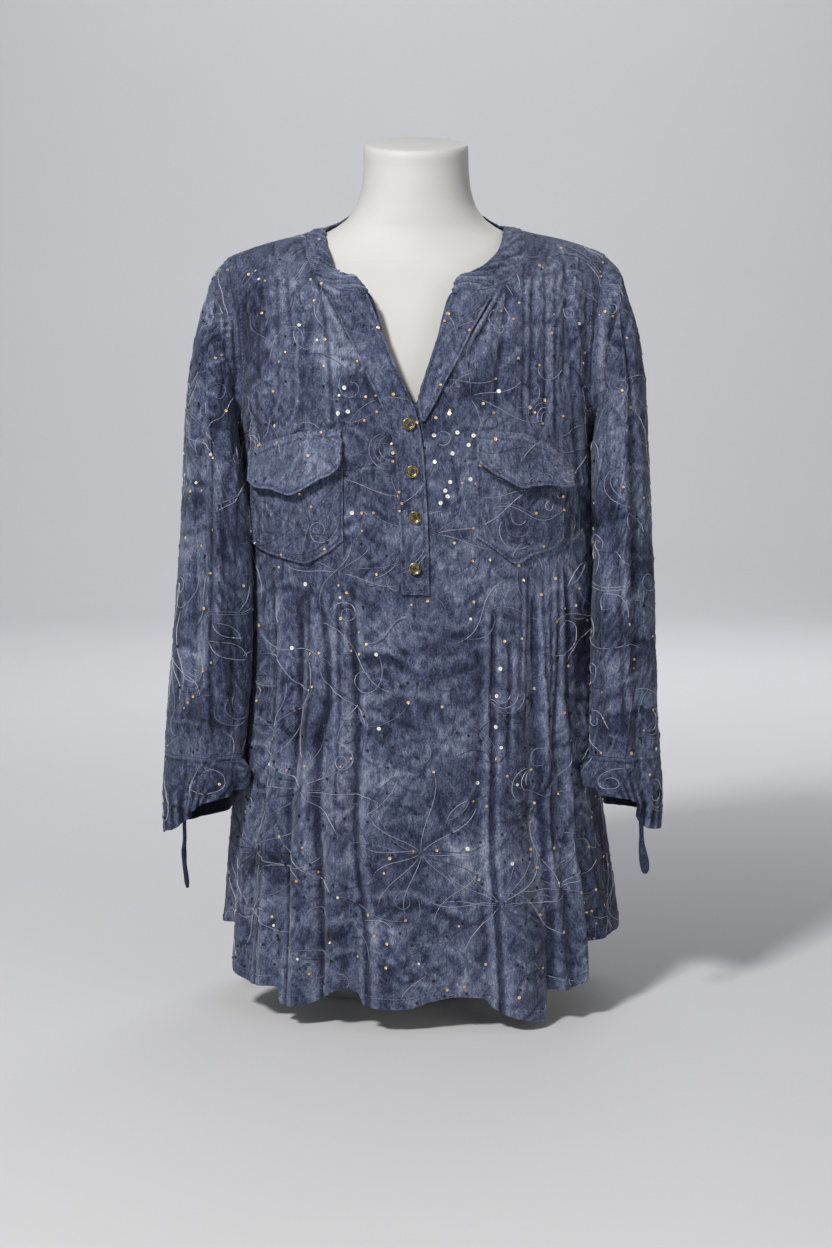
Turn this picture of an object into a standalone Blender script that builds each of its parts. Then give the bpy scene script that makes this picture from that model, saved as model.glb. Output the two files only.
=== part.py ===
"""Tunic top on a limbless dress form, as closed solids. Metres, +Z up, front towards -Y.

The origin is the middle of the form's flat base. _r and _l are the wearer's right (-X) and left (+X).
Cloth is worked out on a smooth garment surface: body() gives the depth of the front and back at any
place, the tables of folds push it in and out, and every piece that lies on a panel is made from it.
"""
import math

import bpy
import numpy as np
from mathutils import Vector
from mathutils.bvhtree import BVHTree

# ---- Driving sizes, in metres and degrees ---------------------------------------------------------
WALL = 0.0012  # one layer of the cloth
DOUBLE_WALL = 0.0017  # folded and interfaced cloth: band, plackets, flaps, cuffs
SEAM = 0.0003  # clearance between two pieces that are sewn together
LAID_ON = 0.0008  # clearance under a piece that lies on the front
ROUND = 2.3  # exponent of the plan section: 2 is an ellipse, more is boxier
SHOULDER_ROUND = 0.090  # height over which the shoulders round over into front and back
UNDERARM = 0.530  # height of the lowest point of the armholes
SIDE_ROWS = 8  # rows of faces on a panel below the underarm
ARM_ROWS = (0.035, 0.10, 0.22, 0.40, 0.60, 0.78, 0.90, 0.965, 1.0)  # rows beside the armhole, as shares of it
SLEEVE_SEAM = 0.2440  # height of the seam between sleeve and cuff
BUTTON_RADIUS = 0.0058
BUTTON_THICK = 0.0026
BUTTON_SIDES = 14
TIE_DIAMETER = 0.0042
TIE_RINGS, TIE_SIDES = 12, 12
CAP_TILT = 13.0  # degrees by which the top of the neck tips forward

FRONT, BACK = -1, 1

# The garment's body.
#  height  half width  depth in front  depth behind
BODY = (
    (0.000, 0.1950, 0.1520, 0.1490),
    (0.090, 0.1875, 0.1480, 0.1430),
    (0.140, 0.1820, 0.1450, 0.1380),
    (0.190, 0.1760, 0.1420, 0.1330),
    (0.240, 0.1725, 0.1395, 0.1280),
    (0.280, 0.1710, 0.1370, 0.1240),
    (0.400, 0.1705, 0.1320, 0.1160),
    (0.480, 0.1690, 0.1310, 0.1140),
    (0.530, 0.1670, 0.1290, 0.1150),
    (0.580, 0.1720, 0.1230, 0.1170),
    (0.640, 0.1770, 0.1100, 0.1190),
    (0.700, 0.1820, 0.0960, 0.1200),
    (0.770, 0.1850, 0.0880, 0.1210),
)
BODY_HALF, BODY_FRONT, BODY_BACK = 1, 2, 3

# How far the cloth below the arms swings to the wearer's left.
#  height  x of its middle
SWING = (
    (0.000, 0.0056),
    (0.080, 0.0047),
    (0.190, 0.0015),
    (0.250, 0.0040),
    (0.320, 0.0055),
    (0.420, 0.0055),
    (0.500, 0.0022),
    (0.540, 0.0000),
)

# The crest of the shoulders.
#  x  height
CREST = (
    (-0.200, 0.6860),
    (-0.1755, 0.7000),
    (-0.140, 0.7130),
    (-0.100, 0.7235),
    (-0.063, 0.7390),
    (-0.040, 0.7490),
    (0.000, 0.7620),
    (0.040, 0.7490),
    (0.063, 0.7395),
    (0.100, 0.7250),
    (0.140, 0.7160),
    (0.1755, 0.7035),
    (0.200, 0.6895),
)

# The armhole, as the edge of each panel.
#  height  half width of the front  half width of the back
ARMHOLE = (
    (UNDERARM, 0.1670, 0.1670),
    (0.536, 0.1652, 0.1660),
    (0.547, 0.1618, 0.1645),
    (0.568, 0.1595, 0.1640),
    (0.600, 0.1600, 0.1652),
    (0.632, 0.1628, 0.1675),
    (0.670, 0.1700, 0.1720),
    (0.700, 0.1755, 0.1755),
)
ARMHOLE_FRONT, ARMHOLE_BACK = 1, 2

# The upper edge of a panel, from shoulder tip to shoulder tip.
#  place across (0 middle, 1 the wearer's left side)  x  height
FRONT_TOP = (
    (-1.00, -0.1755, 0.7000),
    (-0.50, -0.1020, 0.7228),
    (-0.42, -0.0990, 0.6980),
    (-0.34, -0.0905, 0.6800),
    (-0.26, -0.0770, 0.6700),
    (-0.20, -0.0620, 0.6655),
    (-0.14, -0.0432, 0.6640),
    (-0.07, -0.0254, 0.6164),
    (0.00, -0.0027, 0.5645),
    (0.07, 0.0165, 0.6164),
    (0.14, 0.0325, 0.6640),
    (0.20, 0.0540, 0.6655),
    (0.26, 0.0740, 0.6700),
    (0.34, 0.0895, 0.6800),
    (0.42, 0.0985, 0.6980),
    (0.50, 0.1020, 0.7244),
    (1.00, 0.1755, 0.7035),
)
BACK_TOP = (
    (-1.00, -0.1755, 0.7000),
    (-0.50, -0.1020, 0.7228),
    (-0.42, -0.0970, 0.7185),
    (-0.32, -0.0800, 0.7190),
    (-0.17, -0.0450, 0.7260),
    (0.00, 0.0000, 0.7370),
    (0.17, 0.0450, 0.7260),
    (0.32, 0.0800, 0.7190),
    (0.42, 0.0970, 0.7185),
    (0.50, 0.1020, 0.7244),
    (1.00, 0.1755, 0.7035),
)
V_CORNER, NECK_SIDE = 0.14, 0.50

# The hem of the front, from the wearer's right side seam (-1) to the left one (1).
#  place across  height
FRONT_HEM = (
    (-1.000, 0.0700),
    (-0.885, 0.0760),
    (-0.790, 0.0800),
    (-0.765, 0.0502),
    (-0.717, 0.0378),
    (-0.610, 0.0328),
    (-0.470, 0.0346),
    (-0.446, 0.0192),
    (-0.354, 0.0215),
    (-0.296, 0.0267),
    (-0.216, 0.0385),
    (-0.165, 0.0368),
    (-0.141, 0.0250),
    (-0.028, 0.0232),
    (0.014, 0.0290),
    (0.083, 0.0329),
    (0.157, 0.0304),
    (0.184, 0.0222),
    (0.248, 0.0127),
    (0.362, 0.0070),
    (0.387, 0.0332),
    (0.471, 0.0322),
    (0.543, 0.0370),
    (0.582, 0.0705),
    (0.687, 0.0700),
    (0.884, 0.0690),
    (1.000, 0.0740),
)
BACK_HEM = (
    (-1.00, 0.0780),
    (-0.84, 0.0660),
    (-0.66, 0.0420),
    (-0.48, 0.0330),
    (-0.28, 0.0380),
    (-0.08, 0.0320),
    (0.14, 0.0380),
    (0.34, 0.0310),
    (0.56, 0.0370),
    (0.72, 0.0480),
    (0.86, 0.0640),
    (1.00, 0.0740),
)

# Folds: a trough has a negative depth and a ridge a positive one. Their places are degrees round the
# body from the middle of the panel, and they fade out over the last part of their height.
#  degrees at top  degrees at bottom  half width  depth  bottom height  top height  fade
FRONT_FOLDS = (
    (-48.0, -45.0, 2.6, -0.0024, 0.545, 0.720, 0.04),
    (-38.0, -36.5, 2.4, -0.0026, 0.545, 0.720, 0.03),
    (-31.0, -27.0, 2.4, -0.0028, 0.545, 0.700, 0.03),
    (-26.0, -21.0, 2.2, -0.0022, 0.560, 0.690, 0.03),
    (26.0, 20.0, 2.4, -0.0026, 0.560, 0.690, 0.03),
    (33.0, 33.0, 2.4, -0.0028, 0.545, 0.700, 0.03),
    (40.0, 41.0, 2.2, -0.0024, 0.545, 0.720, 0.03),
    (47.0, 49.0, 2.6, -0.0026, 0.545, 0.720, 0.04),
    (-52.0, -58.0, 4.0, -0.0050, -1.0, 0.420, 0.12),
    (-44.0, -49.0, 4.0, 0.0040, -1.0, 0.380, 0.20),
    (-36.0, -41.0, 3.0, -0.0050, -1.0, 0.440, 0.10),
    (-31.5, -34.0, 3.0, 0.0048, -1.0, 0.360, 0.16),
    (-26.0, -27.0, 3.0, -0.0074, -1.0, 0.360, 0.10),
    (-20.5, -22.0, 3.0, 0.0046, -1.0, 0.330, 0.16),
    (-16.0, -16.5, 3.2, -0.0062, -1.0, 0.410, 0.12),
    (-7.0, -7.0, 6.0, 0.0052, -1.0, 0.260, 0.20),
    (8.0, 6.0, 5.0, -0.0030, -1.0, 0.240, 0.20),
    (17.5, 14.8, 3.2, -0.0064, -1.0, 0.400, 0.12),
    (22.0, 24.5, 5.0, 0.0074, -1.0, 0.300, 0.22),
    (32.0, 34.5, 3.0, -0.0070, -1.0, 0.440, 0.12),
    (38.0, 39.5, 3.0, 0.0034, -1.0, 0.380, 0.16),
    (44.0, 45.0, 3.4, -0.0050, -1.0, 0.400, 0.14),
    (50.5, 49.5, 3.4, 0.0034, -1.0, 0.360, 0.20),
    (58.0, 55.0, 4.2, -0.0058, -1.0, 0.420, 0.14),
    (-72.0, -74.0, 6.0, -0.0060, -1.0, 0.300, 0.20),
    (72.0, 74.0, 6.0, -0.0050, -1.0, 0.300, 0.20),
)
BACK_FOLDS = (
    (-30.0, -28.0, 3.4, -0.0024, 0.560, 0.705, 0.05),
    (28.0, 29.0, 3.4, -0.0024, 0.560, 0.705, 0.05),
    (-60.0, -62.0, 5.0, -0.0050, -1.0, 0.400, 0.16),
    (-50.0, -51.0, 4.4, 0.0040, -1.0, 0.340, 0.20),
    (-40.0, -40.0, 4.4, -0.0062, -1.0, 0.440, 0.16),
    (-29.0, -28.0, 4.4, 0.0050, -1.0, 0.360, 0.22),
    (-18.0, -16.0, 4.4, -0.0058, -1.0, 0.420, 0.18),
    (-6.0, -4.0, 5.0, 0.0052, -1.0, 0.330, 0.22),
    (6.0, 8.0, 4.4, -0.0056, -1.0, 0.460, 0.18),
    (18.0, 20.0, 5.0, 0.0054, -1.0, 0.350, 0.22),
    (30.0, 32.0, 4.4, -0.0062, -1.0, 0.430, 0.16),
    (42.0, 43.0, 4.4, 0.0042, -1.0, 0.340, 0.20),
    (52.0, 54.0, 5.0, -0.0054, -1.0, 0.400, 0.16),
)

# The neckband's free edge, from its front ends over the shoulders to the middle of the back.
#  place across the panel's edge it is sewn to  x  y  z
BAND_RIGHT_EDGE = (
    (-0.50, -0.0838, -0.0060, 0.7280),
    (-0.45, -0.0830, -0.0390, 0.7150),
    (-0.39, -0.0795, -0.0600, 0.7020),
    (-0.33, -0.0757, -0.0700, 0.6907),
    (-0.28, -0.0707, -0.0790, 0.6855),
    (-0.24, -0.0646, -0.0850, 0.6822),
    (-0.20, -0.0558, -0.0895, 0.6806),
    (-0.17, -0.0475, -0.0950, 0.6730),
    (-0.14, -0.0430, -0.0985, 0.6665),
)
BAND_LEFT_EDGE = (
    (0.14, 0.0320, -0.0990, 0.6665),
    (0.17, 0.0340, -0.0970, 0.6735),
    (0.20, 0.0385, -0.0930, 0.6800),
    (0.24, 0.0480, -0.0880, 0.6835),
    (0.28, 0.0590, -0.0830, 0.6880),
    (0.33, 0.0680, -0.0740, 0.6960),
    (0.39, 0.0750, -0.0600, 0.7045),
    (0.45, 0.0795, -0.0360, 0.7180),
    (0.50, 0.0820, -0.0060, 0.7290),
)
BAND_BACK_EDGE = (
    (-0.50, -0.0835, 0.0100, 0.7290),
    (-0.42, -0.0770, 0.0300, 0.7330),
    (-0.32, -0.0620, 0.0500, 0.7430),
    (-0.17, -0.0330, 0.0640, 0.7530),
    (0.00, 0.0000, 0.0680, 0.7570),
    (0.17, 0.0330, 0.0640, 0.7530),
    (0.32, 0.0620, 0.0500, 0.7430),
    (0.42, 0.0765, 0.0300, 0.7330),
    (0.50, 0.0825, 0.0100, 0.7300),
)

# The plackets, as strips on the front between an inner and an outer edge.
#  height  inner edge x  outer edge x
PLACKET_OVER = (
    (0.6620, -0.0430, -0.0785),
    (0.6500, -0.0383, -0.0720),
    (0.6250, -0.0286, -0.0605),
    (0.6000, -0.0185, -0.0485),
    (0.5750, -0.0073, -0.0358),
    (0.5600, -0.0008, -0.0296),
    (0.5450, 0.0032, -0.0240),
    (0.5200, 0.0067, -0.0183),
    (0.4800, 0.0093, -0.0156),
    (0.4400, 0.0110, -0.0140),
    (0.3960, 0.0118, -0.0126),
)
PLACKET_UNDER = (
    (0.6610, 0.0315, 0.0670),
    (0.6500, 0.0280, 0.0610),
    (0.6250, 0.0195, 0.0478),
    (0.6000, 0.0110, 0.0345),
    (0.5800, 0.0045, 0.0238),
    (0.5680, 0.0018, 0.0180),
    (0.5580, 0.0026, 0.0125),
    (0.5500, 0.0042, 0.0080),
)

# Patch pockets and their flaps on the front, seen from the front: the wearer's right one.
#  share of the width, from the side to the middle  upper edge height  lower edge height
POCKET_RIGHT = (
    (0.00, 0.5140, 0.4400),
    (0.12, 0.5170, 0.4330),
    (0.34, 0.5210, 0.4270),
    (0.58, 0.5250, 0.4225),
    (0.80, 0.5260, 0.4310),
    (1.00, 0.5270, 0.4440),
)
FLAP_RIGHT = (
    (0.00, 0.5210, 0.4970),
    (0.10, 0.5255, 0.4900),
    (0.24, 0.5310, 0.4890),
    (0.46, 0.5370, 0.4840),
    (0.60, 0.5400, 0.4890),
    (0.78, 0.5415, 0.4990),
    (0.95, 0.5425, 0.5060),
    (1.00, 0.5425, 0.5110),
)
POCKET_LEFT = (
    (0.00, 0.5120, 0.4440),
    (0.14, 0.5160, 0.4350),
    (0.36, 0.5200, 0.4300),
    (0.55, 0.5230, 0.4230),
    (0.80, 0.5250, 0.4360),
    (1.00, 0.5260, 0.4470),
)
FLAP_LEFT = (
    (0.00, 0.5060, 0.4930),
    (0.12, 0.5170, 0.4925),
    (0.26, 0.5280, 0.4930),
    (0.42, 0.5345, 0.4925),
    (0.52, 0.5385, 0.4905),
    (0.68, 0.5400, 0.4970),
    (0.86, 0.5410, 0.5060),
    (1.00, 0.5420, 0.5150),
)
POCKET_RIGHT_SPAN = (-0.1500, -0.0650)  # x of its side edge and of its edge towards the middle
FLAP_RIGHT_SPAN = (-0.1500, -0.0670)
POCKET_LEFT_SPAN = (0.1330, 0.0540)
FLAP_LEFT_SPAN = (0.1400, 0.0540)

BUTTON_HEIGHTS = (0.5470, 0.5055, 0.4650, 0.4195)
BUTTON_X = (-0.0062, -0.0032, -0.0010, -0.0010)

# A sleeve hangs from the armhole: sections from the shoulder down to the cuff.
#  outer x (right)  (left)  outer z  inner x (right)  (left)  inner z  half depth  y of the middle  lean
SLEEVE = (
    (0.1855, 0.1890, 0.6880, 0.1730, 0.1730, 0.5270, 0.0590, -0.003, 0.000),
    (0.1955, 0.1970, 0.6640, 0.1718, 0.1718, 0.5190, 0.0610, -0.009, 0.001),
    (0.2040, 0.2055, 0.6330, 0.1700, 0.1700, 0.5080, 0.0615, -0.018, 0.003),
    (0.2105, 0.2118, 0.5900, 0.1675, 0.1712, 0.4950, 0.0610, -0.027, 0.006),
    (0.2142, 0.2150, 0.5400, 0.1640, 0.1730, 0.4700, 0.0605, -0.034, 0.009),
    (0.2158, 0.2178, 0.4880, 0.1615, 0.1745, 0.4380, 0.0595, -0.040, 0.010),
    (0.2188, 0.2198, 0.4350, 0.1603, 0.1740, 0.4000, 0.0585, -0.044, 0.010),
    (0.2225, 0.2216, 0.3820, 0.1603, 0.1725, 0.3600, 0.0570, -0.047, 0.010),
    (0.2268, 0.2232, 0.3330, 0.1612, 0.1712, 0.3220, 0.0545, -0.050, 0.009),
    (0.2306, 0.2248, 0.2860, 0.1650, 0.1700, 0.2820, 0.0510, -0.053, 0.008),
    (0.2335, 0.2272, SLEEVE_SEAM, 0.1700, 0.1690, SLEEVE_SEAM, 0.0470, -0.056, 0.006),
)
# Lengthwise folds of a sleeve, in degrees round it: 0 outside, 90 front, 180 inside, 270 back.
#  degrees at top  degrees at bottom  half width  depth  bottom height  top height  fade
SLEEVE_FOLDS = (
    (52.0, 66.0, 14.0, -0.0056, 0.150, 0.660, 0.07),
    (84.0, 98.0, 14.0, 0.0036, 0.200, 0.560, 0.10),
    (116.0, 126.0, 14.0, -0.0044, 0.190, 0.520, 0.08),
    (24.0, 24.0, 14.0, 0.0026, 0.210, 0.480, 0.10),
    (228.0, 240.0, 14.0, -0.0044, 0.190, 0.560, 0.10),
    (290.0, 286.0, 14.0, -0.0044, 0.170, 0.640, 0.10),
    (258.0, 262.0, 14.0, 0.0030, 0.200, 0.520, 0.10),
)

# The cuff's lower edge, drawn up in front where the tie gathers it.
#  degrees round the sleeve  height on the wearer's right  and on the left  outward push of the edge
CUFF_EDGE = (
    (0.0, 0.1660, 0.1790, 0.0005),
    (12.0, 0.1665, 0.1780, 0.0010),
    (24.0, 0.1680, 0.1710, 0.0020),
    (44.0, 0.1740, 0.1740, 0.0010),
    (58.0, 0.1830, 0.1800, -0.0040),
    (72.0, 0.1910, 0.2000, 0.0030),
    (88.0, 0.1980, 0.2045, -0.0030),
    (106.0, 0.2040, 0.2070, 0.0030),
    (126.0, 0.2090, 0.2110, -0.0020),
    (146.0, 0.2115, 0.2140, 0.0010),
    (166.0, 0.2090, 0.2120, -0.0010),
    (186.0, 0.2020, 0.2060, 0.0010),
    (208.0, 0.1920, 0.1955, -0.0020),
    (236.0, 0.1780, 0.1860, 0.0020),
    (275.0, 0.1710, 0.1820, -0.0010),
    (320.0, 0.1680, 0.1800, 0.0005),
    (360.0, 0.1660, 0.1790, 0.0005),
)
CUFF_ROWS = 4
ARM_STEP = 0.024  # longest step between two points round an armhole
TURN = 0.003  # length over which a sleeve turns away from the armhole

# The tie ends, hanging from the front of the cuff's lower edge.
#  outwards from the body  y  z
TIE_RIGHT = (
    (0.0000, 0.0000, -0.0036),
    (-0.0002, -0.0008, -0.0140),
    (0.0004, -0.0010, -0.0260),
    (0.0002, -0.0006, -0.0380),
    (-0.0012, -0.0004, -0.0500),
    (-0.0024, -0.0006, -0.0620),
)
TIE_LEFT = (
    (0.0000, 0.0000, -0.0040),
    (0.0002, -0.0006, -0.0100),
    (0.0006, -0.0008, -0.0180),
    (0.0020, -0.0006, -0.0280),
    (0.0036, -0.0004, -0.0380),
    (0.0044, -0.0006, -0.0460),
)
TIE_RIGHT_ANGLE, TIE_LEFT_ANGLE = 56.0, 57.0  # degrees round the cuff

# The dress form, as level sections.
#  height  half width  depth in front  depth behind  y of the middle  exponent
FORM = (
    (0.0000, 0.1130, 0.0320, 0.1000, 0.000, 2.3),
    (0.0060, 0.1190, 0.0370, 0.1050, 0.000, 2.3),
    (0.0400, 0.1370, 0.0680, 0.1120, 0.000, 2.3),
    (0.0900, 0.1490, 0.0940, 0.1170, 0.000, 2.3),
    (0.1500, 0.1530, 0.1050, 0.1160, 0.000, 2.3),
    (0.2200, 0.1490, 0.1050, 0.1080, 0.000, 2.3),
    (0.3000, 0.1400, 0.1000, 0.0950, 0.000, 2.3),
    (0.3700, 0.1350, 0.0980, 0.0900, 0.000, 2.3),
    (0.4300, 0.1380, 0.1060, 0.0920, 0.000, 2.3),
    (0.4800, 0.1430, 0.1140, 0.0960, 0.000, 2.3),
    (0.5300, 0.1460, 0.1150, 0.1000, 0.000, 2.3),
    (0.5800, 0.1480, 0.1070, 0.1030, 0.000, 2.2),
    (0.6200, 0.1510, 0.0970, 0.1030, 0.000, 2.1),
    (0.6500, 0.1560, 0.0880, 0.1010, 0.000, 2.0),
    (0.6700, 0.1610, 0.0790, 0.0970, 0.000, 1.9),
    (0.6840, 0.1640, 0.0690, 0.0890, 0.000, 1.8),
    (0.6940, 0.1620, 0.0620, 0.0830, 0.000, 1.7),
    (0.7020, 0.1480, 0.0580, 0.0770, 0.000, 1.7),
    (0.7090, 0.1260, 0.0560, 0.0730, 0.000, 1.7),
    (0.7160, 0.1030, 0.0545, 0.0690, 0.000, 1.75),
    (0.7240, 0.0815, 0.0530, 0.0650, 0.000, 1.85),
    (0.7340, 0.0655, 0.0520, 0.0610, -0.001, 2.0),
    (0.7480, 0.0555, 0.0510, 0.0570, -0.002, 2.0),
    (0.7650, 0.0505, 0.0500, 0.0530, -0.004, 2.0),
    (0.7850, 0.0488, 0.0490, 0.0500, -0.006, 2.0),
    (0.8000, 0.0484, 0.0485, 0.0490, -0.008, 2.0),
    (0.8032, 0.0474, 0.0475, 0.0480, -0.008, 2.0),
    (0.8040, 0.0452, 0.0453, 0.0458, -0.008, 2.0),
)
FORM_SIDES = 28
TILT_FROM = 0.765  # height above which the neck's sections lean with the cap

COLOURS = {
    "cloth": ((0.105, 0.127, 0.245), 0.85, 0.0),
    "form": ((0.80, 0.80, 0.79), 0.55, 0.0),
    "button": ((0.30, 0.23, 0.12), 0.30, 0.8),
}


# ---- Working with tables --------------------------------------------------------------------------
def smooth(table, column, at):
    """The smooth curve through a table's first column and another one, flat beyond its ends."""
    rows = np.array(table, float)
    places, values = rows[:, 0], rows[:, column]
    slopes = np.diff(values) / np.diff(places)
    before, after = slopes[:-1], slopes[1:]
    same = before * after > 0
    mean = np.where(same, 2 * before * after / np.where(same, before + after, 1), 0)
    tangents = np.concatenate([slopes[:1], mean, slopes[-1:]])
    at = np.clip(at, places[0], places[-1])
    i = np.clip(np.searchsorted(places, at, side="right") - 1, 0, len(places) - 2)
    width = places[i + 1] - places[i]
    t = (at - places[i]) / width
    start = (1 + 2 * t) * (1 - t) ** 2 * values[i] + t * (1 - t) ** 2 * width * tangents[i]
    end = t * t * (3 - 2 * t) * values[i + 1] - t * t * (1 - t) * width * tangents[i + 1]
    return start + end


def ease(t):
    """0 to 1 with soft ends."""
    t = np.clip(t, 0, 1)
    return t * t * (3 - 2 * t)


def fold_push(folds, degrees, z, turn=False):
    """How far the folds push the cloth out, at a place in degrees and a height."""
    push = np.zeros_like(z)
    for top, bottom, half, depth, low, high, fade in folds:
        share = np.clip((z - max(low, 0.0)) / (high - max(low, 0.0)), 0, 1)
        middle = bottom + (top - bottom) * share
        off = degrees - middle
        if turn:
            off = (off + 180) % 360 - 180
        strength = ease((z - low) / fade) * ease((high - z) / fade)
        push += depth * strength * np.exp(-((off / half) ** 2))
    return push


# ---- The garment's surface ------------------------------------------------------------------------
def body(x, z, side):
    """y of the unfolded cloth at x and height z, on the front or the back."""
    half = smooth(BODY, BODY_HALF, z)
    full = smooth(BODY, BODY_FRONT if side == FRONT else BODY_BACK, z)
    across = np.clip(1 - (np.abs(x) / half) ** ROUND, 0, 1) ** (1 / ROUND)
    drop = np.clip((smooth(CREST, 1, x) - z) / SHOULDER_ROUND, 0, 1)
    return side * full * across * np.sqrt(1 - (1 - drop) ** 2)


def panel_edge(z, side):
    """Half width of a panel at a height: to the side seam, and above the underarm to the armhole."""
    edge = smooth(ARMHOLE, ARMHOLE_FRONT if side == FRONT else ARMHOLE_BACK, z)
    return np.where(z < UNDERARM, smooth(BODY, BODY_HALF, z), edge)


def across_at(z, s, side):
    """x at a height and a place across (-1 to 1) of a panel."""
    half = smooth(BODY, BODY_HALF, z)
    widest = np.arcsin(np.clip(panel_edge(z, side) / half, 0, 1) ** (ROUND / 2))
    angle = np.abs(s) * math.pi / 2 - (math.pi / 2 - widest) * np.abs(s) ** 2.5
    return np.sign(s) * half * np.sin(angle) ** (2 / ROUND)


def degrees_round(x, z):
    """Degrees round the body from the middle of a panel, at x and height z."""
    share = np.clip(np.abs(x) / smooth(BODY, BODY_HALF, z), 0, 1)
    return np.sign(x) * np.degrees(np.arcsin(share ** (ROUND / 2)))


def panel_points(side, s, v):
    """Grid of points of a panel: s across, v from the hem (0) to the upper edge (1)."""
    s, v = np.meshgrid(s, v)
    if side == FRONT:
        top, hem, folds = FRONT_TOP, FRONT_HEM, FRONT_FOLDS
    else:
        top, hem, folds = BACK_TOP, BACK_HEM, BACK_FOLDS
    bottom_z, top_x, top_z = smooth(hem, 1, s), smooth(top, 1, s), smooth(top, 2, s)
    top_z = np.where(np.abs(s) > NECK_SIDE - 0.001, smooth(CREST, 1, top_x), top_z)
    z = bottom_z + (top_z - bottom_z) * v
    drawn_in = top_x - across_at(top_z, s, side)
    x = across_at(z, s, side) + drawn_in * np.clip(2 * v - 1, 0, 1) ** 3
    base = np.stack([x, body(x, z, side) + side * SEAM / 2, z], axis=-1)
    normals = grid_normals(base) * side
    on_seam = np.abs(base[..., 1]) < SEAM
    normals[on_seam, 1] = 0
    normals /= np.linalg.norm(normals, axis=-1, keepdims=True)
    free = ease((1 - np.abs(s)) / 0.12) * ease((1 - v) / 0.04)
    push = fold_push(folds, degrees_round(x, z), z) * free
    points = base + normals * push[..., None]
    points[..., 0] += smooth(SWING, 1, z)
    return points, normals


def grid_normals(grid):
    """Unit normals of a grid of points: the direction across times the direction up."""
    over, up = np.gradient(grid, axis=1), np.gradient(grid, axis=0)
    normals = np.cross(up, over)
    return normals / np.maximum(np.linalg.norm(normals, axis=-1, keepdims=True), 1e-12)


# ---- Meshes ---------------------------------------------------------------------------------------
def material(kind):
    colour, roughness, metallic = COLOURS[kind]
    made = bpy.data.materials.new(kind)
    made.use_nodes = True
    shader = made.node_tree.nodes["Principled BSDF"]
    shader.inputs["Base Color"].default_value = (*colour, 1)
    shader.inputs["Roughness"].default_value = roughness
    shader.inputs["Metallic"].default_value = metallic
    return made


def add_object(name, points, faces, kind="cloth"):
    mesh = bpy.data.meshes.new(name)
    mesh.from_pydata([tuple(p) for p in points], [], faces)
    mesh.materials.append(material(kind))
    mesh.shade_smooth()
    mesh.set_sharp_from_angle(angle=math.radians(50))
    made = bpy.data.objects.new(name, mesh)
    bpy.context.scene.collection.objects.link(made)
    return made


def wall(name, outer, inner, closed=False, kind="cloth"):
    """A closed wall between two grids of points: outer is seen with rows going up and columns right.

    A closed wall is a tube: its last column joins its first.
    """
    rows, columns = outer.shape[:2]
    count = rows * columns
    faces = []
    for i in range(rows - 1):
        for j in range(columns if closed else columns - 1):
            k = (j + 1) % columns
            a, b, c, d = i * columns + j, i * columns + k, (i + 1) * columns + k, (i + 1) * columns + j
            faces += [(a, b, c), (a, c, d)]
            faces += [(count + c, count + b, count + a), (count + d, count + c, count + a)]
    rim = [(0, j) for j in range(columns)]
    if not closed:
        rim += [(i, columns - 1) for i in range(1, rows)]
        rim += [(rows - 1, j) for j in range(columns - 2, -1, -1)]
        rim += [(i, 0) for i in range(rows - 2, 0, -1)]
    faces += rim_faces(rim, columns, count)
    if closed:
        faces += rim_faces([(rows - 1, j) for j in range(columns - 1, -1, -1)], columns, count)
    points = np.concatenate([outer.reshape(-1, 3), inner.reshape(-1, 3)])
    return add_object(name, points, faces, kind)


def rim_faces(rim, columns, count):
    """Faces that close the edge between the outer and inner points along a ring of places."""
    ring = [i * columns + j for i, j in rim]
    return [(b, a, count + a, count + b) for a, b in zip(ring, ring[1:] + ring[:1])]


def solid(name, rings, kind):
    """A closed body from rings of points, the first and last ring closed by flat faces."""
    count, sides = rings.shape[:2]
    faces = [tuple(range(sides - 1, -1, -1)), tuple(range((count - 1) * sides, count * sides))]
    for i in range(count - 1):
        for k in range(sides):
            n = (k + 1) % sides
            faces.append((i * sides + k, i * sides + n, (i + 1) * sides + n, (i + 1) * sides + k))
    return add_object(name, rings.reshape(-1, 3), faces, kind)


def span(*stops):
    """Places from stop to stop, each stop after the first with its number of steps before it."""
    places = [stops[0]]
    for steps, stop in stops[1:]:
        places += list(np.linspace(places[-1], stop, steps + 1)[1:])
    return np.array(places)


# ---- Front and back -------------------------------------------------------------------------------
def panel_rows(side_hem):
    """Rows of a panel: even up to the underarm, then closer where the armhole turns."""
    tip = ARMHOLE[-1][0]
    break_at = (UNDERARM - side_hem) / (tip - side_hem)
    upper = break_at + (1 - break_at) * np.array(ARM_ROWS)
    return np.concatenate([np.linspace(0, break_at, SIDE_ROWS + 1), upper])


def make_panel(name, side):
    if side == FRONT:
        half = span(0, (4, V_CORNER), (13, NECK_SIDE), (12, 1))
    else:
        half = span(0, (9, NECK_SIDE), (8, 1))
    s = np.concatenate([-half[:0:-1], half])
    hem = FRONT_HEM if side == FRONT else BACK_HEM
    v = panel_rows(hem[0][1])
    outer, normals = panel_points(side, s, v)
    inner = outer - normals * WALL
    if side == BACK:
        s, outer, inner, normals = s[::-1], outer[:, ::-1], inner[:, ::-1], normals[:, ::-1]
    made = wall(name, outer, inner)
    return {"object": made, "s": s, "outer": outer, "inner": inner, "normals": normals}


def tree_of(made):
    mesh = made.data
    return BVHTree.FromPolygons([v.co for v in mesh.vertices], [tuple(p.vertices) for p in mesh.polygons])


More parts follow.
